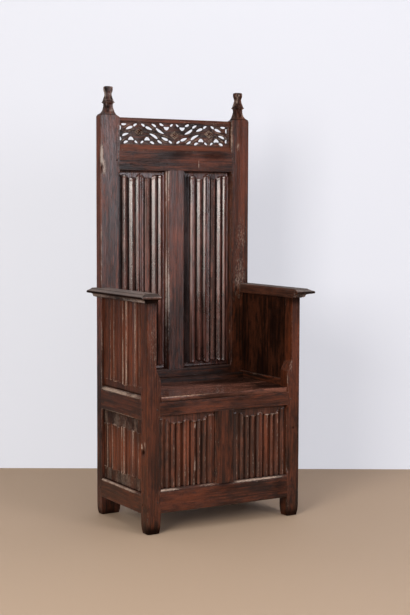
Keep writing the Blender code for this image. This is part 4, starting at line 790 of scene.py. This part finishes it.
# Linenfold: turning points of half a section, mm from the middle and mm above the ground, and the lines
# where folds stop, mm from the middle and mm in from the rail
linenfolds = {
    "back_panel": {
        "levels": (0.549, 1.323),
        "turns": ((0, 5.8), (10, 8.6), (20, 1.0), (23, 3.4), (36, 8.6), (48, 0.4), (50, 0.4), (64, 9.2), (78, 1.8),
                  (88.5, 8.8), (99, 1.5)),
        "leftFlank": {"left": ((64, 8.6), (80, 1.6), (82, 0.0), (120, 0.0)),
                      "right": ((62, 9.0), (66, 7.4), (70, 8.4), (83, 1.8), (86, 1.0), (120, 1.0))},
        "squeeze": {"left": 1.0, "right": 0.93},
        "finish": "backPanel", "bare": 0.46, "endRub": 0.45,
        "top": ((0, 9.5), (4, 13), (11, 18), (16, 25), (22, 29), (44, 29.5), (52, 27), (60, 20), (66, 18), (99, 18)),
        "bottom": ((0, 11), (5, 13), (11, 16), (16, 20), (24, 23), (44, 23), (52, 21), (60, 17), (66, 16), (99, 16)),
        "ground": 27, "relief": 1.32, "ridge": 0.20, "valley": 1.0, "margin": 1.5, "inner": 0.35,
        "offset": {"left": -7, "right": 2},
    },
    "front_panel": {
        "levels": (0.163, 0.431),
        "turns": ((0, 5.4), (8, 8.4), (16, 0.6), (31, 8.2), (44, 1.0), (54, 8.0), (66, 1.0), (79, 8.2), (90, 1.4),
                  (104, 7.6), (111, 4.0)),
        "top": ((0, 18), (4, 21), (9, 24), (15, 28.5), (20, 29.5), (66, 29.5), (74, 27), (82, 19), (90, 14), (111, 13)),
        "bottom": ((0, -9), (111, -9)),
        "lip": (8.0, 18, 70),  # height, and from where to where
        "ground": 21, "relief": 1.12, "ridge": 0.36, "valley": 0.80, "margin": 4.0, "inner": 0.35,
        "offset": {"left": -1, "right": 3}, "finish": "panel", "bare": 0.22,
    },
    "side_upper_panel": {
        "levels": (0.505, 0.840),
        "turns": ((0, 3.4), (14, 8.0), (23, 1.2), (46, 5.0), (54, 2.4), (87, 8.2), (97, 1.6), (118, 6.8), (136, 1.6),
                  (156, 5.0)),
        "top": ((0, -8), (160, -8)),
        "bottom": ((0, 16), (16, 20), (26, 25), (44, 22), (58, 27), (89, 22), (104, 28), (119, 24), (142, 28),
                   (156, 25)),
        "ground": 17, "relief": 1.10, "ridge": 0.92, "valley": 0.75, "margin": 4.5, "inner": 0.66,
        "offset": {"left": -12, "right": -12}, "finish": "panel", "bare": 0.30,
    },
    "side_lower_panel": {
        "levels": (0.144, 0.413),
        "turns": ((0, 4.2), (9, 8.0), (18, 1.2), (44, 5.2), (52, 2.2), (84, 8.2), (96, 1.4), (128, 7.4), (140, 2.0),
                  (150, 4.5)),
        "top": ((0, 44), (13, 48), (22, 53), (50, 54), (66, 50), (78, 47), (93, 53), (111, 49), (124, 54), (138, 50),
                (150, 54)),
        "bottom": ((0, 40), (13, 43), (24, 47), (60, 48), (78, 44), (93, 49), (111, 46), (150, 48)),
        "ground": 17, "relief": 1.12, "ridge": 0.95, "valley": 0.70, "margin": 4.0, "inner": 0.85,
        "offset": {"left": 2, "right": 2}, "finish": "panel", "bare": 0.50, "speckle": 0.45,
    },
}
# Spacing of the mesh and sizes that all panels share, in metres; the fold ends' slope and the border round the
# margin, with its distance in, half width and height, in mm
panelGrid = {"across": 0.0020, "end": 0.0022, "endZone": 0.066, "between": 0.034, "tuck": 0.006, "thick": 0.008,
             "wander": 0.0007, "arris": 0.0003, "endSlope": 2.4, "border": (5.0, 2.2, 1.4)}


def foldHeights(u, turns):  # coves between the turning points, sharp on the ridges
    u = np.abs(u)
    height = np.full_like(u, turns[-1][1])
    for (a, ha), (b, hb) in zip(turns, turns[1:]):
        inside = (u >= a) & (u <= b)
        t = (u[inside] - a) / (b - a)
        if ha >= hb:
            height[inside] = hb + (ha - hb) * (1 - t) ** 1.25
        else:
            height[inside] = ha + (hb - ha) * t ** 1.25
    return height


def makePanel(part, word, face, left, right, plan):
    grid = panelGrid
    low, high = plan["levels"]
    left, right, bottom, top = left - grid["tuck"], right + grid["tuck"], low - grid["tuck"], high + grid["tuck"]
    us = np.arange(left, right + 1e-6, grid["across"])
    vs = np.array(steps(bottom, top, grid["between"], [
        *np.arange(low, low + grid["endZone"], grid["end"]), *np.arange(high - grid["endZone"], high, grid["end"])]))
    u = (us - (left + right) / 2 - plan["offset"][word] * mm) / mm
    if "squeeze" in plan:
        u = u / plan["squeeze"][word]
    section = foldHeights(u, [(a, h * plan["relief"]) for a, h in plan["turns"]])
    inFlank = np.zeros(len(u), bool)
    if "leftFlank" in plan:  # the far left fold is cut in its own way on each board
        flank = [(a, h * plan["relief"]) for a, h in plan["leftFlank"][word]]
        inFlank = u < -flank[0][0]
        section = np.where(inFlank, foldHeights(u, flank), section)
    section = np.convolve(np.pad(section, 1, mode="edge"), (0.22, 0.56, 0.22), mode="valid")
    around = np.convolve(np.pad(section, 4, mode="edge"), np.full(9, 1 / 9), mode="valid")
    standing = section - around  # above its surroundings on a ridge, below them in a valley
    wander = smoothNoise(np.stack((us, us * 0, us * 0 + len(part)), 1), (0.03, 1, 1)) * 0.4
    fromTop, fromLow = (high - vs)[:, None] / mm, (vs - low)[:, None] / mm
    # a fold's end drops steeply to the ground; just behind the end the cloth is a little lifted
    endTop = fromTop - (np.interp(np.abs(u), *zip(*plan["top"])) + wander)
    endLow = fromLow - (np.interp(np.abs(u), *zip(*plan["bottom"])) - wander)
    toEnd = np.minimum(endTop, endLow)
    mask = np.clip(endTop / grid["endSlope"] + 0.5, 0, 1) * np.clip(endLow / grid["endSlope"] + 0.5, 0, 1)
    lift = 0.9 * np.exp(-(((toEnd - 4) / 4) ** 2))
    height = (section + lift * (section > 2)) * mask + plan["margin"] * (1 - mask)
    hem = np.zeros_like(height)
    if "lip" in plan:  # the hem that joins the flank folds
        lipHeight, lipFrom, lipTo = plan["lip"]
        hem = np.clip(1.6 - np.abs(endTop - 1.6), 0, 1) * ((np.abs(u) > lipFrom) & (np.abs(u) < lipTo))
        height = np.maximum(height, lipHeight * hem)
    # thin raised border left round the margin
    inFrom, borderHalf, borderHeight = grid["border"]
    toSides = np.minimum(us - left, right - us) / mm - grid["tuck"] / mm
    toFrame = np.minimum(toSides, np.minimum(fromTop, fromLow))
    height += borderHeight * np.clip(1 - np.abs(toFrame - inFrom) / borderHalf, 0, 1) * (mask < 0.05)

    # pale on the ridges, at the fold ends and on the hem: wear with painted highlight
    ridge = np.clip(standing / 1.8, 0, 1) * np.clip((section - 5.5) / 1.5, 0, 1) * mask * plan["ridge"]
    ends = np.exp(-((toEnd - 0.6) / 1.3) ** 2) * np.clip(section / 5, 0, 1) * plan.get("endRub", 0.85)
    rub = np.maximum.reduce((ridge, ends, 0.9 * hem, plan.get("speckle", 0.0) * (1 - mask)))
    # dark in the valleys: grime with painted shade; darker next to the frame: painted shade; the plain margin darker by
    # bare
    valley = np.clip((-standing - 0.7) / 1.3, 0, 1) * mask
    corner = np.exp(-(np.clip(toFrame, 0, 99) / 2.5) ** 2)
    grimeAndShade = np.clip(plan["valley"] * valley + 0.50 * corner + plan["bare"] * (1 - mask), 0, 1)
    # painted shadow: the far left fold, where the post shades it, is made black
    grimeAndShade = np.maximum(grimeAndShade, 0.85 * (inFlank & (section < 4.5)) * mask)

    def place(across, depth, up):  # from the board to its place in the chair
        if face in frames:
            return np.stack((across, frames[face][0] + depth, up), -1).reshape(-1, 3)
        hand = -1 if face == "left" else 1
        return np.stack((hand * (rod["outer"] - depth), across, up), -1).reshape(-1, 3)

    across, up = np.meshgrid(us, vs)
    verts = place(across, (plan["ground"] - height) * mm, up)
    faces = gridFaces(len(vs), len(us))
    if face == "left":
        faces = [f[::-1] for f in faces]
    # the plain back of the board, seen from inside the chair or from behind
    ground = plan["ground"] * mm
    near, far = ground + 0.0006, ground + grid["thick"]
    points, _ = makeLoop([(left, near, 0, 0), (right, near, 0, 0), (right, far, 0, 0), (left, far, 0, 0)], 0.02)
    boardVerts, boardFaces = sweep(points, steps(bottom, top, 0.03), 2)
    faces += [tuple(v + len(verts) for v in f) for f in boardFaces]
    rub = np.concatenate((rub.ravel(), np.zeros(len(boardVerts))))
    # the plain back of the board is darker by inner: grime with painted shade inside the chair
    grimeAndShade = np.concatenate((grimeAndShade.ravel(), np.full(len(boardVerts), plan["inner"])))
    verts = np.vstack((verts, place(*boardVerts.T)))
    makePiece(f"{part}_{word}", verts, faces, rub, 2, oak[plan["finish"]],
              grid["wander"], grid["arris"], grimeAndShade)


for side, word in sides:
    for face in ("back", "front"):
        span = sorted((side * rod["halfMuntin"], side * frames[face][2]))
        makePanel(face + "_panel", word, face, *span, linenfolds[face + "_panel"])
    for part in ("side_upper_panel", "side_lower_panel"):
        makePanel(part, word, word, rod["frontPostRear"], rod["backY"], linenfolds[part])
print("linenfold panels made")


# Pierced frieze, in mm. Openings to the right of a rosette: x, z, length, width, tilt, sharpness of the first end,
# bend; section of a stem: share across, lift, rub, painted shade; moulding under the crest: before the face, height,
# radius
frieze = {
    "pitch": 155, "low": 1425, "high": 1508, "top": 1524, "front": 14, "thick": 4.0, "soft": 1.2, "half": 248,
    "shift": -4, "sideTongue": 6, "lowTongue": 7, "wander": 0.0003, "arris": 0.0002,
    "openings": (
        (17, 30.6, 18.5, 10.8, -28, 0.3, 0.6), (42, 19, 31.5, 13, -19, -0.4, 0.8), (35.2, -25.6, 25, 13, 0, 0.0, 5.4),
        (13, -34.2, 15.5, 9.8, 32, 0.3, 0.5),
    ),
    "between": (
        (64.5, 31, 23.5, 11.2, -27, 0.4, 0.8), (63.5, -10.6, 41, 13.6, -28, 0.5, 2.0),
        (56.5, -35.5, 20.5, 11, -19, 0.3, 0.8),
    ),
    "atEnds": (
        (65.5, 33, 23, 10, -3, 0.3, -1.5), (58.5, -7, 30, 12, -18, 0.5, 1.6), (56.5, -35.3, 21, 11.3, -19, 0.3, 0.8),
        (82, 18.8, 10.5, 18, 0, 0.0, 0.0), (81, -22.5, 11, 18, -24, 0.2, 0.5),
    ),
    "rosetteRise": 4.5, "rosetteWide": 23, "rosetteTall": 17,
    "stems": (
        ((22, 14), (34, 11), (48, 6.5), (62, 3), (75, -5), (88, -16)), ((47, -13), (56, -20), (66, -25), (76, -33)),
        ((33, 33), (44, 31.5), (54, 26), (68, 17.5), (82, 7)),
    ),
    "stemPoints": 15, "stemHalf": 3.3,
    "stemSection": ((-1, -0.3, 0, 0.9), (-0.5, 1.0, 0.45, 0.1), (0, 1.7, 0.70, 0), (0.5, 1.0, 0.45, 0.1),
                    (1, -0.3, 0, 0.9)),
    "moulding": ((-2.0, 1508.5, 0), (2.2, 1508.5, 1.2), (2.6, 1512.0, 1.2), (0.6, 1515.0, 0.8), (-2.0, 1515.2, 0)),
}


def openingOutline(x, z, length, width, tilt, sharp, bend):
    count = 22
    line = []
    turn = math.radians(tilt)
    for i in range(count):
        t = 2 * math.pi * (i + 0.5) / count
        u = -length / 2 * math.cos(t)
        taper = 1 - abs(sharp) * (1 + math.copysign(1, sharp) * math.cos(t)) / 2
        v = width / 2 * math.sin(t) * taper + bend * (1 - (2 * u / length) ** 2)
        line.append((x + u * math.cos(turn) - v * math.sin(turn), z + u * math.sin(turn) + v * math.cos(turn)))
    return line


def friezeUnits(plan):  # the middle one of the three units hangs upside down
    for unit in (-1, 0, 1):
        for hand in (-1, 1):
            yield unit * plan["pitch"] + plan["shift"], 1 if unit else -1, hand, unit * hand > 0


def sawFrieze(plan, midZ, front):
    # the board with its openings cut through, drawn as a filled curve with soft edges
    curve = bpy.data.curves.new("friezeOutline", "CURVE")
    curve.dimensions = "2D"
    curve.fill_mode = "BOTH"
    curve.extrude = (plan["thick"] / 2 - plan["soft"]) * mm
    curve.bevel_depth = plan["soft"] * mm
    curve.bevel_resolution = 2
    curve.offset = -plan["soft"] * mm
    edge, low = plan["half"] + plan["sideTongue"], plan["low"] - plan["lowTongue"]
    outlines = [[(-edge, low), (edge, low), (edge, plan["top"]), (-edge, plan["top"])]]
    for centre, flip, hand, atEnd in friezeUnits(plan):
        for shape in plan["openings"] + plan["atEnds" if atEnd else "between"]:
            outlines.append([(centre + hand * px, midZ + flip * pz) for px, pz in openingOutline(*shape)])
    for line in outlines:
        spline = curve.splines.new("POLY")
        spline.points.add(len(line) - 1)
        spline.use_cyclic_u = True
        for point, (px, pz) in zip(spline.points, line):
            point.co = (px * mm, pz * mm, 0, 1)
    drawn = bpy.data.objects.new("friezeOutline", curve)
    scene.collection.objects.link(drawn)
    bpy.context.view_layer.update()
    flat = bpy.data.meshes.new_from_object(drawn.evaluated_get(bpy.context.evaluated_depsgraph_get()))
    bpy.data.objects.remove(drawn, do_unlink=True)
    bm = bmesh.new()
    bm.from_mesh(flat)
    bmesh.ops.remove_doubles(bm, verts=bm.verts, dist=0.00002)
    bmesh.ops.triangulate(bm, faces=bm.faces)
    bmesh.ops.subdivide_edges(bm, edges=[e for e in bm.edges if e.calc_length() > 0.012], cuts=1)
    bm.verts.index_update()
    middle = front + plan["thick"] * mm / 2
    verts = [(v.co.x, middle - v.co.z, v.co.y) for v in bm.verts]
    faces = [tuple(v.index for v in reversed(f.verts)) for f in bm.faces]
    bm.free()
    return verts, faces


def makeFrieze(plan):
    midZ = (plan["low"] + plan["high"]) / 2
    front = rod["backY"] + plan["front"] * mm
    verts, faces = sawFrieze(plan, midZ, front)
    # the front face paler, wear with painted light; the cut sides of the openings darker, painted shade
    depth = np.clip([(p[1] - front) / (plan["soft"] * mm) for p in verts], 0, 1)
    rub = list(0.26 * (1 - depth))
    grimeAndShade = list(0.10 + 0.68 * depth)

    def take(newVerts, newFaces, amount, dirtAndShade=0.0):
        start = len(verts)
        verts.extend([tuple(v) for v in newVerts])
        faces.extend([tuple(i + start for i in f) for f in newFaces])
        rub.extend(np.broadcast_to(amount, len(newVerts)))
        grimeAndShade.extend(np.broadcast_to(dirtAndShade, len(newVerts)))

    # leaf stems carved on the ribs, with painted shade along their edges
    count = plan["stemPoints"]
    ks, lifts, stemRub, stemShade = zip(*plan["stemSection"])
    wide = plan["stemHalf"] * np.sin(np.pi * (0.1 + 0.8 * np.linspace(0, 1, count)))
    for centre, flip, hand, _ in friezeUnits(plan):
        for path in plan["stems"]:
            t = np.linspace(0, len(path) - 1, count)
            px, pz = [np.interp(t, range(len(path)), line) for line in zip(*path)]
            for line in (px, pz):
                line[1:-1] = (line[:-2] + 2 * line[1:-1] + line[2:]) / 4
            dx, dz = np.gradient(px), np.gradient(pz)
            run = np.hypot(dx, dz)
            rows = np.concatenate([np.stack((
                (centre + hand * (px - dz / run * wide * k)) * mm, np.full(count, front - lift * mm),
                (midZ + flip * (pz + dx / run * wide * k)) * mm), 1) for k, lift in zip(ks, lifts)])
            quads = gridFaces(len(ks), count)
            take(rows, quads if hand * flip > 0 else [q[::-1] for q in quads],
                 np.repeat(stemRub, count), np.repeat(stemShade, count))
    # diamond rosettes of four beads in a double line, darker in the hollows between them: painted shade
    ticks = (np.arange(21) - 10) / 10
    t, s = np.meshgrid(ticks, ticks)
    out = np.maximum(abs(s), abs(t))
    bead = np.maximum(0, 1 - abs(3 * abs(s) - 1)) * np.maximum(0, 1 - abs(3 * abs(t) - 1))
    line = ((out > 0.85) & (out < 0.95)) | ((out > 0.65) & (out < 0.75))
    lift = np.where(out < 0.999, 0.8, -0.4) + 3.4 * bead ** 0.7 + 1.7 * line
    raised = np.where(line, 0.95, bead).ravel()
    for centre, flip, hand, _ in friezeUnits(plan):
        if hand > 0:
            rows = np.stack(((centre + plan["rosetteWide"] * (s - t) / 2) * mm, front - lift * mm,
                             (midZ + plan["rosetteRise"] * flip + plan["rosetteTall"] * (s + t) / 2) * mm), -1)
            take(rows.reshape(-1, 3), [q[::-1] for q in gridFaces(*s.shape)], 1.25 * raised,
                 np.clip(0.75 - 2.4 * raised, 0, 1))
    loop, _ = makeLoop([(front - d * mm, z * mm, r * mm, 0) for d, z, r in plan["moulding"]], 0.02)
    half = (plan["half"] - 1) * mm
    take(*sweep(loop, steps(-half, half, 0.03), 0), 0.35)
    makePiece("pierced_frieze", verts, faces, rub, 0, oak["frame"], plan["wander"], plan["arris"],
              grimeAndShade, closed=False)


makeFrieze(frieze)
print("frieze made")


# Seat: a hinged lid of two boards with a worn nose, on battens, before a fixed strip
seat = {
    "lidLow": 0.4823, "lidTop": 0.5003, "front": -0.1885, "split": -0.0165, "halfGap": 0.0004, "hingeY": 0.1404,
    "half": 0.2885, "notchX": 0.2725, "notchY": -0.1360,
    "stripFront": 0.1502, "stripBack": 0.1852, "stripTop": 0.5183, "stripHalf": 0.2895, "lean": 0.006,
}
besideNotch = [hand * (seat["notchX"] + d) for hand in (-1, 1) for d in (-0.0004, 0.0002)]


def notchRound(ring, x):  # the front board of the lid and of the floor fits round the front posts
    if abs(x) > seat["notchX"]:
        ring[:, 0] = np.maximum(ring[:, 0], seat["notchY"])
    return ring


def makeSeat(plan):
    low, top, nose = plan["lidLow"], plan["lidTop"], plan["front"]
    half = plan["half"]
    before, after = plan["split"] - plan["halfGap"], plan["split"] + plan["halfGap"]
    corners = [(nose, low, 0.0010, 0.05), (nose, top, 0.0024, 0.30), (before, top, 0.0016, 0.25),
               (before, low, 0.0010, 0.1)]
    straightMember("seat_lid_front_board", corners, steps(-half, half, 0.013, besideNotch), 0, oak["seat"],
                   spacing=0.011, wander=0.00025, arris=0.0011, warp=notchRound, body="seat_lid")
    y, z, r = plan["hingeY"], (low + top) / 2, (top - low) / 2
    corners = [(after, low, 0.001, 0.1), (after, top, 0.0014, 0.2)]
    for a in range(90, -91, -20):  # the rear edge is round about the pins
        turn = math.radians(a)
        corners.append((y + r * math.cos(turn), z + r * math.sin(turn), 0.0, 0.25 if a > 40 else 0.0))
    straightMember("seat_lid_rear_board", corners, steps(-half, half, 0.016), 0, oak["seat"],
                   spacing=0.011, wander=0.00025, arris=0.0004, body="seat_lid")
    front, back, stripTop, half = plan["stripFront"], plan["stripBack"], plan["stripTop"], plan["stripHalf"]
    corners = [(back, low, 0, 0), (front, low, 0, 0), (front, z, 0.001, 0.1),
               (front + plan["lean"], stripTop, 0.003, 0.05), (back, stripTop, 0.001, 0.0)]
    straightMember("seat_back_strip", corners, steps(-half, half, 0.015), 0, oak["frame"],
                   spacing=0.010, wander=0.0004, arris=0.0010)


makeSeat(seat)


def lieOf(node):  # the solid's box, the way it runs, and the two ways across
    low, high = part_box(node)
    axis = max(range(3), key=lambda i: high[i] - low[i])
    return low, high, axis, crosswise(axis)


# Boards and bearers of the chest, as sawn: each fills its CAD box. Those of the lid are truer
sawnBoards = {"soft": 0.0018, "wander": {"chair_frame": 0.0006, "seat_lid": 0.00024}, "arris": 0.0008, "rub": 0.4}


def makeSawnBoard(node, plan, body="chair_frame", warp=None, extra=()):
    low, high, axis, (a, b) = lieOf(node)
    corners = [(x, y, plan["soft"], plan["rub"]) for x, y in (
        (low[a], low[b]), (high[a], low[b]), (high[a], high[b]), (low[a], high[b]))]
    straightMember(node, corners, steps(low[axis], high[axis], 0.020, extra), axis, oak["inside"],
                   spacing=0.014, wander=plan["wander"][body], arris=plan["arris"], warp=warp, body=body)


makeSawnBoard("chest_floor_board_1", sawnBoards, warp=notchRound, extra=besideNotch)
for node in ("chest_floor_board_2", "chest_floor_board_3", "back_lower_panel", "lid_cleat_left", "lid_cleat_right",
             "floor_cleat_left", "floor_cleat_right"):
    makeSawnBoard(node, sawnBoards)
for side, word in sides:
    makeSawnBoard("seat_lid_batten_" + word, sawnBoards, body="seat_lid")
print("seat and chest made")


# Riven pegs: knife-cut, not round, driven tapering, their heads worn almost level with the wood
rivenPeg = {"proud": 0.0009, "facets": 9, "headTaper": 0.35, "tailTaper": 4.0}


def makePeg(node, plan):
    low, high, axis, across = lieOf(node)
    centre = np.array([(low[i] + high[i]) / 2 for i in across])
    radius = (high[across[0]] - low[across[0]]) / 2
    # the head is at the face that looks outwards
    outward = 1 if axis == 0 and low[0] > 0 else -1
    head, tail = (high[axis], low[axis]) if outward > 0 else (low[axis], high[axis])
    proud = plan["proud"]
    seed = sum(map(ord, node))
    angle = np.linspace(0, 2 * math.pi, plan["facets"] * 2, endpoint=False)
    uneven = 0.06 * np.sin(angle * 2 + seed) + 0.04 * np.cos(angle * 3 + 2 * seed)
    size = radius * (0.98 + 0.05 * np.cos(angle * plan["facets"]) + uneven)
    loop = np.stack((centre[0] + size * np.cos(angle), centre[1] + size * np.sin(angle)), 1)

    def taper(ring, s):
        out = (s - head) * outward
        less = plan["headTaper"] * (out / proud) ** 2 if out > 0 else plan["tailTaper"] * -out
        return centre + (ring - centre) * (1 - less)

    stations = [tail] + [head + outward * far for far in (-0.004, 0, proud * 0.7, proud)]
    verts, faces = sweep(loop, stations, axis, taper)
    rub = np.where((verts[:, axis] - head) * outward > 0, 0.25, 0.0)
    makePiece(node, verts, faces, rub, axis, oak["peg"], wander=0.0, arris=0.0)


for node in sorted(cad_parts):
    if "_peg_" in node:
        makePeg(node, rivenPeg)


# Pivot pins: forged, slightly tapered to the end in the lid
pivotPin = {"radius": 0.0039, "taper": 0.10, "taperOver": 0.02}


def makePin(side, name, plan):
    low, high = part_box(name)
    centre = np.array(((low.y + high.y) / 2, (low.z + high.z) / 2))
    angle = np.linspace(0, 2 * math.pi, 20, endpoint=False)
    loop = centre + plan["radius"] * np.stack((np.cos(angle), np.sin(angle)), 1)
    inEnd = low.x if side > 0 else high.x

    def taper(ring, x):
        return centre + (ring - centre) * (1 - plan["taper"] * max(0, 1 - abs(x - inEnd) / plan["taperOver"]))

    verts, faces = sweep(loop, steps(low.x, high.x, 0.004), 0, taper)
    makePiece(name, verts, faces, np.zeros(len(verts)), 0, iron, wander=0.0001, arris=0.0)


for side, word in sides:
    makePin(side, "lid_pivot_pin_" + word, pivotPin)
print("pegs and pins made")


# Stage: pale floor and wall, the wall seen only from its front
stage = {"floor": "#b29a82", "floorRough": 0.6, "wall": "#e5e7ef", "wallRough": 0.9, "wallAway": 5.93, "wallGlow": 0.55,
         "size": 9.0, "height": 5.0, "mirrored": "#202022", "mirroredShare": 0.7}


def makeFlat(name, corners, code, rough, glow=0.0):
    mesh = bpy.data.meshes.new(name)
    mesh.from_pydata([tuple(c) for c in corners], [], [(0, 1, 2, 3)])
    material, tree = startMaterial(name + "Paint")
    shader = add(tree, "ShaderNodeBsdfPrincipled", {}, {"Base Color": srgb(code), "Roughness": rough}).outputs["BSDF"]
    if glow:
        # the camera sees an even pale wall with only part of the shadows on it, polished wood a darker one
        rays = add(tree, "ShaderNodeLightPath", {}, {}).outputs
        even = add(tree, "ShaderNodeEmission", {}, {"Color": srgb(code)}).outputs["Emission"]
        dark = add(tree, "ShaderNodeBsdfDiffuse", {}, {"Color": srgb(stage["mirrored"])}).outputs["BSDF"]
        for ray, amount, other in (("Is Camera Ray", glow, even), ("Is Glossy Ray", stage["mirroredShare"], dark)):
            share = add(tree, "ShaderNodeMath", {"operation": "MULTIPLY"}, {0: rays[ray], 1: amount}).outputs[0]
            shader = add(tree, "ShaderNodeMixShader", {}, {"Fac": share, 1: shader, 2: other}).outputs["Shader"]
        behind = add(tree, "ShaderNodeNewGeometry", {}, {}).outputs["Backfacing"]
        clear = add(tree, "ShaderNodeBsdfTransparent", {}, {}).outputs["BSDF"]
        shader = add(tree, "ShaderNodeMixShader", {}, {"Fac": behind, 1: shader, 2: clear}).outputs["Shader"]
    add(tree, "ShaderNodeOutputMaterial", {}, {"Surface": shader})
    mesh.materials.append(material)
    made = bpy.data.objects.new(name, mesh)
    scene.collection.objects.link(made)


def makeStage(plan):
    ahead = Vector((lookAlong.x, lookAlong.y, 0)).normalized()
    aside = Vector((ahead.y, -ahead.x, 0)) * plan["size"]
    start = Vector(photoCamera["place"])
    start.z = 0
    foot = start + ahead * plan["wallAway"]
    nearer = foot - ahead * 2 * plan["size"]
    rise = Vector((0, 0, plan["height"]))
    makeFlat("studioFloor", (foot - aside, nearer - aside, nearer + aside, foot + aside),
             plan["floor"], plan["floorRough"])
    makeFlat("studioWall", (foot - aside, foot + aside, foot + aside + rise, foot - aside + rise),
             plan["wall"], plan["wallRough"], plan["wallGlow"])


makeStage(stage)


# Light: a large soft box well to the left, a fainter one on the right that puts a sheen on the upper back,
# one overhead, in a dim room
studioLights = {
    "leftBox": {"at": (-4.2, -2.85, 2.2), "size": (2.0, 2.2), "watts": 220, "colour": "#fffaf4"},
    "rightBox": {"at": (1.2, -4.1, 1.75), "size": (1.3, 1.9), "watts": 72, "colour": "#f8f6ff"},
    "topBox": {"at": (-0.2, -1.2, 4.3), "size": (3.2, 3.2), "watts": 70, "colour": "#ffffff"},
}
room = {"colour": "#e6e6ee", "strength": 0.20}


def makeLights():
    target = Vector((0, 0, 0.75))
    for name, plan in studioLights.items():
        data = bpy.data.lights.new(name, "AREA")
        data.shape = "RECTANGLE"
        data.size, data.size_y = plan["size"]
        data.energy = plan["watts"]
        data.color = srgb(plan["colour"])[:3]
        lamp = bpy.data.objects.new(name, data)
        lamp.location = plan["at"]
        lamp.visible_camera = False
        lamp.rotation_euler = (target - lamp.location).to_track_quat("-Z", "Y").to_euler()
        scene.collection.objects.link(lamp)
    world = bpy.data.worlds.new("paleRoom")
    scene.world = world
    world.use_nodes = True
    sky = world.node_tree.nodes["Background"]
    sky.inputs["Color"].default_value = srgb(room["colour"])
    sky.inputs["Strength"].default_value = room["strength"]


makeLights()
scene.view_settings.view_transform = "Standard"
print("stage and lights set")
